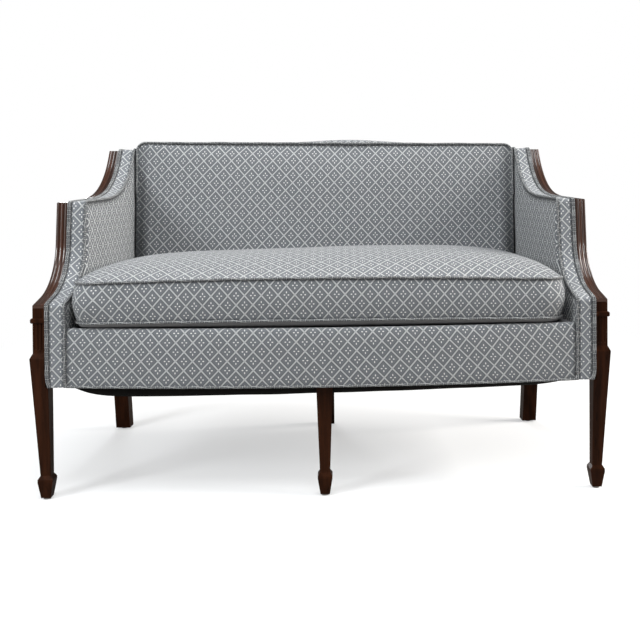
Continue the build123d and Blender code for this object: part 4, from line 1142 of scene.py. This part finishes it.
class SETTEE_OT_back(bpy.types.Operator):
    """Pad and cover the back, with the welt along its top"""
    bl_idname = "settee.back"
    bl_label = "Back"

    def execute(self, context):
        back = sizes("back")
        edge = back_height(POST_TOP) + back.welt_over
        self.cover(back, edge)
        self.welt(back, edge)
        return {"FINISHED"}

    def cover(self, back, edge):
        """The padded face with the crest over its top edge, one grid that the filling blows up."""
        top = back_height(POST_TOP)
        base = back_height(DECK_TOP) + back.base
        x = BACK_HALF * crowded(np.linspace(-1, 1, 110), 1.25)
        into = np.clip(np.abs(x) - (BACK_HALF - back.corner), 0, back.corner)
        drop = back.corner - np.sqrt(back.corner ** 2 - into ** 2)
        line = edge - drop * 0.8 - back.lean * x / BACK_HALF
        w = np.linspace(0, 1, 44)[:, None]
        z = base + (line - base) * w
        crown = back.crown * swell(x / BACK_HALF, 2 * w - 1, 3.5) + unevenness(x, z, size=0.0009, pitch=0.26)
        face = back_point(x, -back.thick - crown, z)
        c = np.linspace(0, 1, 9)[1:, None]
        high = back.crest + back.crest_arch * np.exp(-((x - back.crest_middle) / back.crest_half) ** 2)
        arch = np.sin(math.pi * c * 0.9) * (high - 0.1 * drop)
        crest = back_point(x, -back.thick * (1 - c), line + arch)
        front = np.concatenate([face, crest])
        flat_face = back_point(x, -back.frame, np.minimum(z, top))
        flat_crest = back_point(x, -back.frame * (1 - c), top - back.crest_gap)
        rear = np.concatenate([flat_face, flat_crest])
        lift = np.concatenate([z, line + back.thick * c])
        uv = drawn(x, lift, (base + edge) / 2, lean=-0.027, fan=0.10, shift=(0.0, 0.0056)) / back.stretch
        fade = np.clip(1.3 - np.concatenate([w, 1 + c]), 0, 1)
        # Painted shade: in creases along the rim and beside the top welt, and beside the arms, fading up the
        # back
        dark = [rim_shade(front, RIM_SEAM_SHADE), crease_shade(np.abs(lift - line), CORD_SEAM_SHADE),
                crease_shade(BACK_HALF - np.abs(x), back.side_shade) * fade]
        skin = shell(front, rear, uv, rows=5, seam=np.maximum.reduce(dark))
        piece = skin.finish("inside_back", [cover_cloth()])
        hold = back_point(0.0, -back.thick + back.hold, 0.0)

        def held(points):
            """Pinned: everything behind the front edge, and the edge itself."""
            lean = (points[:, 2] - hold[2]) * math.tan(back.rake)
            rim = np.abs(points[:, 0]) > BACK_HALF - back.rim
            return (points[:, 1] > hold[1] + lean) | rim

        inflate(piece, held, back.pressure, back.swell)
        refine(piece)
        dress(piece, "frame", "lattice_fabric", "back_cover", "back_pad")

    def welt(self, back, edge):
        """The cord along the top edge, round both corners and a little way down the sides."""
        trim = sizes("trim")
        reach, bend = BACK_HALF - trim.welt, back.corner
        corner = np.linspace(0, math.pi / 2, 12)
        turn = stacked(reach - bend + bend * np.sin(corner), edge - bend + bend * np.cos(corner))
        down = [[reach, edge - bend - fall] for fall in (0.02, 0.12)]
        right = np.concatenate([[[0.0, edge]], turn, down])
        path = evened(np.concatenate([right[::-1] * [-1, 1], right[1:]]), 0.005)
        x = path[:, 0]
        z = path[:, 1] + (unevenness(x, x, size=0.0008, pitch=0.31) - back.lean * x / BACK_HALF)
        cord = back_point(x, -back.thick - trim.welt * 0.5, z)
        across = back_point(0.0, -1.0, 0.0) - back_point(0.0, 0.0, 0.0)
        sew_welt(tube(Builder(), cord, trim.welt, across), "back_welt")


class SETTEE_OT_outside_back(bpy.types.Operator):
    """Stretch the cloth over the outside of the back"""
    bl_idname = "settee.outside_back"
    bl_label = "Outside back"

    def execute(self, context):
        back = sizes("back")
        half = BACK_BOX[1].x
        low = back_height(BAND_BOTTOM)
        x = np.linspace(-half, half, 120)
        step = way(np.abs(x), BACK_HALF, BACK_HALF - back.corner)
        high = back_height(POST_TOP) + back.welt_over * smooth(step)
        w = np.linspace(0, 1, 70)[:, None]
        z = low + (high - low) * w
        puff = back.panel_swell * swell(x / half, 2 * w - 1, 8.0)
        outer = back_point(x, back.panel_out + puff, z)
        inside = back_point(x, back.panel_gap, z)
        piece = shell(outer, inside, stacked(-x, z)).finish("outside_back", [cover_cloth()])
        dress(piece, "frame", "lattice_fabric", "outside_back_panel")
        return {"FINISHED"}


class SETTEE_OT_front_band(bpy.types.Operator):
    """Cover the bowed front rail, over its edge roll, with the welt below"""
    bl_idname = "settee.front_band"
    bl_label = "Front band"

    def execute(self, context):
        trim = sizes("trim")
        x = np.linspace(-BAND_BOX[1].x, BAND_BOX[1].x, 130)
        tall = BAND_TOP - BAND_BOTTOM - trim.roll_rise
        t = np.linspace(0, 1, 22)
        face = stacked(trim.band + trim.band_swell * (1 - np.abs(2 * t - 1) ** 5), BAND_BOTTOM + tall * t)
        a = np.linspace(0, math.pi, 12)[1:]
        roll = stacked(trim.band - trim.roll / 2 + trim.roll / 2 * np.cos(a),
                       BAND_BOTTOM + tall + trim.roll_rise * np.sin(a))
        line = np.concatenate([face, roll])
        stand, lift = line[:, :1], line[:, 1:]
        slack = unevenness(x, lift, size=0.0006, pitch=0.19)
        front = stacked(x, front_line() + bow_front(x, stand + slack), lift)
        rail = front_line() + bow_front(x, trim.band_gap)
        inner = stacked(x, rail, np.minimum(lift, BAND_TOP - trim.roll_deep))
        uv = drawn(x, run_along(line)[:, None], tall / 2, lean=0.034, fan=0.21, shift=(0.0030, 0.0018))
        # Painted shade in creases along the band's rim
        piece = shell(front, inner, uv, seam=CORD_SEAM_SHADE).finish("front_band", [cover_cloth()])
        dress(piece, "frame", "lattice_fabric", "front_band_cover", "front_band_pad", "front_edge_roll")
        below = front_line() + bow_front(x, trim.band + trim.welt * 0.4)
        path = stacked(x, below, BAND_BOTTOM + trim.welt * 0.6)
        sew_welt(tube(Builder(), evened(path, 0.005), trim.welt, UP), "front_band_welt")
        return {"FINISHED"}


class SETTEE_OT_deck(bpy.types.Operator):
    """Lay the plain deck under the cushion"""
    bl_idname = "settee.deck"
    bl_label = "Deck"

    def execute(self, context):
        trim, arm = sizes("trim"), sizes("arm")
        u, w = grid_of(40, 90)
        front = bow_front(u * (HALF_WIDTH - arm.thick), trim.band - trim.roll)
        v = front + (DECK_BOX[1].y - front_line() - front) * (w + 1) / 2
        x = u * (arm_inside(v, arm.thick) - trim.deck_gap)
        y = v + front_line()
        sink = (trim.deck_sink + unevenness(x, y, size=0.0008, pitch=0.2)) * swell(u, w, 4.0)
        top = stacked(x, y, DECK_TOP - trim.deck_drop - sink)
        under = stacked(x, y, DECK_TOP - trim.deck_thick)
        piece = shell(top, under, stacked(x, y)).finish("deck", [deck_cloth()])
        dress(piece, "frame", "deck_cloth", "deck_cover", "deck_pad")
        return {"FINISHED"}


class SETTEE_OT_cushion(bpy.types.Operator):
    """Fill the loose seat cushion and sew its welts"""
    bl_idname = "settee.cushion"
    bl_label = "Cushion"

    # Where the boxing changes, in metres: depths of the front zone, depth of the zone at the back, places
    # across of the front corners and of the short end; then the pitches of its gathers
    FRONT_ZONE, BACK_ZONE = (0.075, -0.005), 0.03
    END_ZONE, SHORT_ZONE = (0.47, 0.54), (0.20, 0.55)
    GATHERS = (0.031, 0.23)

    def plan(self, rows, columns):
        """The cushion in plan as a grid: bowed front, sides along the arms, straight back, round corners.

        Grid lines crowd towards the rim by a sine. In each corner square the grid is carried onto a quarter
        disc: p' = p sqrt(1 - q^2 / 2), q' = q sqrt(1 - p^2 / 2).
        """
        cushion, arm, trim = sizes("cushion"), sizes("arm"), sizes("trim")
        u, w = (crowded(t, 1.2) for t in grid_of(rows, columns))
        far = arm.thick + cushion.gap + cushion.inset
        front = bow_front(u * arm_inside(0.0, far), trim.band - cushion.setback - cushion.inset)
        front = front - cushion.forward * np.abs(u) ** 3
        rear = CUSHION_BOX[1].y - front_line()
        middle, deep = (front + rear) / 2, (rear - front) / 2
        wide = arm_inside(middle + w * deep, far)
        p = np.clip((np.abs(u) * wide - wide + cushion.corner) / cushion.corner, 0, 1)
        q = np.clip((np.abs(w) * deep - deep + cushion.corner) / cushion.corner, 0, 1)
        x = np.sign(u) * (np.abs(u) * wide - cushion.corner * (p - p * np.sqrt(1 - q ** 2 / 2)))
        v = middle + np.sign(w) * (np.abs(w) * deep - cushion.corner * (q - q * np.sqrt(1 - p ** 2 / 2)))
        x = x - cushion.short * way(x, *self.SHORT_ZONE) ** 2
        return u, w, x, v + front_line()

    def seam(self, x, w, height, arch):
        """Height of a welt: along the front highest in the middle, falling to the ends as the square."""
        return height + arch * (1 - (x / HALF_WIDTH) ** 2) * (1 - w) / 2

    def panels(self):
        """Top and underside as grids: a crown fuller on the right, and a belly round at the seam, flat below.

        The crown is sqrt(1 - |u|^8) across, times 0.75 (1 - |w|^5) + 0.25 (1 - w^2) along the depth. The
        right seat's fullness comes in as a tanh of u, and goes at the rim as (1 - |u|^6) (1 - |w|^3).
        """
        cushion = sizes("cushion")
        u, w, x, y = self.plan(60, 124)
        across = np.sqrt(1 - np.abs(u) ** 8)
        along = 0.75 * (1 - np.abs(w) ** 5) + 0.25 * (1 - w ** 2)
        right = (1 + np.tanh(3 * (u - 0.1))) / 2 * (1 - np.abs(u) ** 6) * (1 - np.abs(w) ** 3)
        crown = cushion.crown * across * along + cushion.lean * right
        crown = crown + unevenness(x, y, size=0.0016, pitch=0.34) * swell(u, w, 3.0)
        high = self.seam(x, w, cushion.top_seam, cushion.top_arch)
        low = self.seam(x, w, cushion.low_seam, cushion.low_arch)
        rim = np.clip(np.minimum(1 - np.abs(u), (1 - np.abs(w)) * 0.46) / 0.06, 0, 1)
        belly = np.sqrt(1 - (1 - rim) ** 2)
        top = stacked(x, y, high + crown)
        under = stacked(x, y, low + (DECK_TOP + cushion.deck_gap - low) * belly)
        return top, under, stacked(x, y)

    def outward(self, ring):
        """Unit vectors that point level out of a closed ring."""
        around = around_ring(ring)
        return unit(stacked(around[:, 1], -around[:, 0], 0.0))

    def bulge(self, ring):
        """Swell of the boxing round the ring: full in front, more at its corners, drawn in at the zipper."""
        cushion = sizes("cushion")
        v = ring[:, 1] - front_line()
        front = way(v, *self.FRONT_ZONE)
        back = way(v, v.max() - self.BACK_ZONE, v.max())
        end = way(np.abs(ring[:, 0]), *self.END_ZONE)
        more = cushion.front_bulge - cushion.side_bulge + end * cushion.corner_bulge
        out = (cushion.side_bulge + front * more) * (1 - back) - cushion.zip_draw * back
        short, long = (np.sin(2 * math.pi * ring_length(ring)[:-1] / pitch) for pitch in self.GATHERS)
        return out + cushion.pucker * short * long

    def welt(self, name, grid):
        """A cord sewn round one seam, just proud of it."""
        trim = sizes("trim")
        rim = rim_of(grid)
        ring = evened(np.concatenate([rim, rim[:1]]), 0.006)[:-1]
        cord = ring + self.outward(ring) * trim.welt * 0.9
        cord[:, 2] += unevenness(cord[:, 0], cord[:, 1], size=0.0007, pitch=0.12)
        sew_welt(tube(Builder(), cord, trim.welt, UP, closed=True), "cushion_" + name + "_welt", "cushion")

    def execute(self, context):
        cushion = sizes("cushion")
        top, under, uv = self.panels()
        ring = rim_of(top)
        push = self.outward(ring) * self.bulge(ring)[:, None]
        middle = ring_length(ring)[np.argmin(np.hypot(ring[:, 0], ring[:, 1] - ring[:, 1].min()))]
        laid = (cushion.pack, cushion.boxing_shift - (cushion.pack - 1) * middle, cushion.boxing_lift)
        builder = shell(top, under, uv - (cushion.top_shift, cushion.top_lift), rows=13, push=push,
                        slots=(0, 0, 1), laid=laid)
        piece = builder.finish("seat_cushion", [cover_cloth(), deck_cloth()])
        rims = np.concatenate([ring, rim_of(under)])
        zip_line = CUSHION_BOX[1].y - cushion.zip_zone

        def held(points):
            """Pinned: both seams, the boxing with the zipper, and the underside that lies on the deck."""
            flat = points[:, 2] < cushion.low_seam - cushion.hold
            seams = {tuple(p) for p in np.round(rims, 5).tolist()}
            sewn = np.array([tuple(p) in seams for p in np.round(points, 5).tolist()])
            return flat | sewn | ((points[:, 1] > zip_line) & (points[:, 2] < cushion.top_seam))

        def room(points):
            """The cloth stays between the arms."""
            limit = arm_inside(points[:, 1] - front_line(), sizes("arm").thick + cushion.gap)
            return stacked(np.clip(points[:, 0], -limit, limit), points[:, 1], points[:, 2])

        inflate(piece, held, cushion.pressure, cushion.swell, room)
        refine(piece)
        dress(piece, "cushion", "lattice_fabric", "cushion_cover", "cushion_core")
        self.welt("top", top)
        self.welt("bottom", under)
        return {"FINISHED"}


class SETTEE_OT_zipper(bpy.types.Operator):
    """Sew the zipper's tape and teeth into the cushion's back"""
    bl_idname = "settee.zipper"
    bl_label = "Zipper"

    # In metres: ribs of the tape, tape's face and rear and teeth's middles before the box's rear, and a
    # tooth's step to either side, half depth and half height
    RIB, FACE, REAR, MIDDLE = 0.0002, 0.0007, 0.0024, 0.0003
    STEP, HALF_DEEP, HALF_TALL = 0.0008, 0.0007, 0.0021

    def execute(self, context):
        low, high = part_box("zipper_tape")
        x = np.linspace(low.x, high.x, 160)
        z = np.linspace(low.z, high.z, 15)[:, None]
        q = np.linspace(-1, 1, 15)[:, None]
        ribs = self.RIB * np.cos(2 * math.pi * 4 * q) * (np.abs(q) > 0.25)
        face = stacked(x, high.y - self.FACE + ribs, z)
        builder = shell(face, stacked(x, high.y - self.REAR, z), stacked(x, z))
        pitch = sizes("cushion").tooth
        at = np.arange(low.x + 4 * pitch, high.x - 4 * pitch, pitch)
        odd = np.where(np.arange(len(at)) % 2, 1.0, -1.0)
        centres = stacked(at, high.y - self.MIDDLE, (low.z + high.z) / 2 + self.STEP * odd)
        builder.blocks(centres, (pitch * 0.36, self.HALF_DEEP, self.HALF_TALL), slot=1)
        finishes = [bpy.data.materials[name] for name in ("zip_tape", "dull_brass")]
        piece = builder.finish("zipper_tape_teeth", finishes, weld=0.00001)
        dress(piece, "cushion", "zip_tape", "zipper_tape")
        return {"FINISHED"}


class SETTEE_OT_dust_cover(bpy.types.Operator):
    """Hang the sagging dust cover under the seat"""
    bl_idname = "settee.dust_cover"
    bl_label = "Dust cover"

    # In metres: front edge behind the rail's front, edges below the rails, thickness; then how much less it
    # sags at the right
    INSET, GAP, THICK = 0.014, 0.0006, 0.0009
    LEAN = 0.18

    def execute(self, context):
        """A sheet that sags as (1 - w^2)^0.45 (1 - |u|^20), a little less towards the right."""
        trim = sizes("trim")
        u, w = grid_of(50, 110)
        x = u * DUST_BOX[1].x
        front = bow_front(x, -self.INSET) + front_line()
        y = front + (DUST_BOX[1].y - front) * (w + 1) / 2
        sag = trim.sag * (1 - w ** 2) ** 0.45 * (1 - np.abs(u) ** 20) * (1 - self.LEAN * u)
        creases = unevenness(x * 0.6, y, size=0.002, pitch=0.16) * (1 - w ** 2) * (1 - u ** 4)
        upper = stacked(x, y, RAIL_BOTTOM - self.GAP - sag + creases)
        lower = upper - [0.0, 0.0, self.THICK]
        cambric = plain_cloth("cambric", sizes("finish").cambric, 0.0012, sheen=0.0)
        piece = shell(lower, upper, stacked(x, y)).finish("dust_cover_cloth", [cambric])
        dress(piece, "frame", "cambric", "dust_cover")
        return {"FINISHED"}


class SETTEE_OT_stage(bpy.types.Operator):
    """Set the pale floor, soft lights and the camera"""
    bl_idname = "settee.stage"
    bl_label = "Stage"

    def seen(self, tree):
        """1 for rays that the camera sends, 0 for light that bounces or is mirrored."""
        return tree.add("ShaderNodeLightPath").outputs["Is Camera Ray"]

    def floor(self):
        """A wide level sheet that fades to white away from the object and keeps its shadow."""
        pale, tree, bsdf = new_material("pale_floor")
        tree.fill(bsdf, {"Base Color": rgba(sizes("finish").floor), "Roughness": 0.8,
                         "Specular IOR Level": 0.0})
        place = tree.add("ShaderNodeTexCoord").outputs["Object"]
        away = tree.add("ShaderNodeVectorMath", {0: place}, operation="LENGTH").outputs["Value"]
        veil = tree.plus(0.4, tree.times(tree.ramp(away, 0.7, 2.2), 0.6))
        white = tree.add("ShaderNodeEmission")
        bright = tree.add("ShaderNodeMixShader", {0: veil, 1: bsdf.outputs[0], 2: white.outputs[0]})
        grey = tree.add("ShaderNodeBsdfDiffuse", {"Color": (0.35, 0.34, 0.33, 1.0)})
        both = tree.add("ShaderNodeMixShader", {0: self.seen(tree), 1: grey.outputs[0], 2: bright.outputs[0]})
        tree.fill(pale.node_tree.nodes["Material Output"], {"Surface": both.outputs[0]})
        side = np.linspace(-FLOOR_HALF, FLOOR_HALF, 4)
        points = stacked(side[:, None], side, 0.0)
        Builder().grid(points, points[..., :2]).finish("floor", [pale])

    def lamp(self, name, place, size, power, tint):
        """A square soft box that faces the settee's middle."""
        light = bpy.data.lights.new(name, "AREA")
        light.shape = "SQUARE"
        light.size = size
        light.energy = power
        light.color = tint
        lamp = bpy.data.objects.new(name, light)
        lamp.location = place
        lamp.rotation_euler = (Vector(LAMP_AIM) - Vector(place)).to_track_quat("-Z", "Y").to_euler()
        bpy.context.scene.collection.objects.link(lamp)

    def camera(self):
        """The photograph's camera: its axes from yaw, pitch and roll, its shift from the axis pixel."""
        seen = sizes("camera")
        yaw, pitch, roll = seen.yaw, seen.pitch, seen.roll
        ahead = Vector((math.sin(yaw) * math.cos(pitch), math.cos(yaw) * math.cos(pitch), -math.sin(pitch)))
        level = Vector((math.cos(yaw), -math.sin(yaw), 0.0))
        upright = level.cross(ahead)
        right = level * math.cos(roll) + upright * math.sin(roll)
        up = upright * math.cos(roll) - level * math.sin(roll)
        data = bpy.data.cameras.new("photo_camera")
        data.sensor_width = 36.0
        data.lens = seen.focal * data.sensor_width / seen.frame_side
        data.shift_x = (seen.frame_side / 2 - seen.axis[0]) / seen.frame_side
        data.shift_y = (seen.axis[1] - seen.frame_side / 2) / seen.frame_side
        camera = bpy.data.objects.new("photo_camera", data)
        camera.matrix_world = Matrix((
            (right.x, up.x, -ahead.x, seen.place[0]), (right.y, up.y, -ahead.y, seen.place[1]),
            (right.z, up.z, -ahead.z, seen.place[2]), (0.0, 0.0, 0.0, 1.0)))
        bpy.context.scene.collection.objects.link(camera)
        bpy.context.scene.camera = camera

    def world(self):
        """Even surroundings, white to the camera and dim in reflections, so that the lamps show there."""
        world = bpy.data.worlds.new("studio")
        world.use_nodes = True
        tree = Tree(world.node_tree)
        mirrored = tree.add("ShaderNodeLightPath").outputs["Is Glossy Ray"]
        around = tree.add("ShaderNodeMapRange", {"Value": mirrored, "To Min": 0.50, "To Max": 0.15})
        strength = tree.math("MAXIMUM", self.seen(tree), around.outputs["Result"])
        tree.fill(world.node_tree.nodes["Background"], {"Color": (1.0, 1.0, 1.0, 1.0), "Strength": strength})
        bpy.context.scene.world = world

    def execute(self, context):
        context.scene.view_settings.view_transform = "Standard"
        self.floor()
        self.world()
        self.camera()
        for name, values in LAMPS.items():
            self.lamp(name + "_soft_box", *values)
        return {"FINISHED"}


class SETTEE_PT_pieces(bpy.types.Panel):
    """Lists the settee's pieces in the sidebar"""
    bl_idname = "SETTEE_PT_pieces"
    bl_label = "Settee"
    bl_space_type = "VIEW_3D"
    bl_region_type = "UI"
    bl_category = "Settee"

    def draw(self, context):
        for operator in OPERATORS:
            self.layout.operator(operator.bl_idname)
        for group, kind in GROUPS.items():
            column = self.layout.column(heading=group)
            for name in kind.__annotations__:
                column.prop(sizes(group), name, text=name.replace("_", " ").capitalize())


OPERATORS = (
    SETTEE_OT_stage, SETTEE_OT_frame_finishes, SETTEE_OT_arm_wood, SETTEE_OT_arm_covers, SETTEE_OT_arm_welts,
    SETTEE_OT_back, SETTEE_OT_outside_back, SETTEE_OT_front_band, SETTEE_OT_deck, SETTEE_OT_cushion,
    SETTEE_OT_zipper, SETTEE_OT_dust_cover,
)


def register():
    for kind in (*GROUPS.values(), *OPERATORS, SETTEE_PT_pieces):
        bpy.utils.register_class(kind)
    for group, kind in GROUPS.items():
        setattr(bpy.types.Scene, "settee_" + group, bpy.props.PointerProperty(type=kind))


def unregister():
    for group in GROUPS:
        delattr(bpy.types.Scene, "settee_" + group)
    for kind in (SETTEE_PT_pieces, *reversed(OPERATORS), *reversed(tuple(GROUPS.values()))):
        bpy.utils.unregister_class(kind)


def main():
    """Register, and make every piece in order."""
    register()
    for operator in OPERATORS:
        group, name = operator.bl_idname.split(".")
        getattr(getattr(bpy.ops, group), name)()


if __name__ == "__main__":
    main()
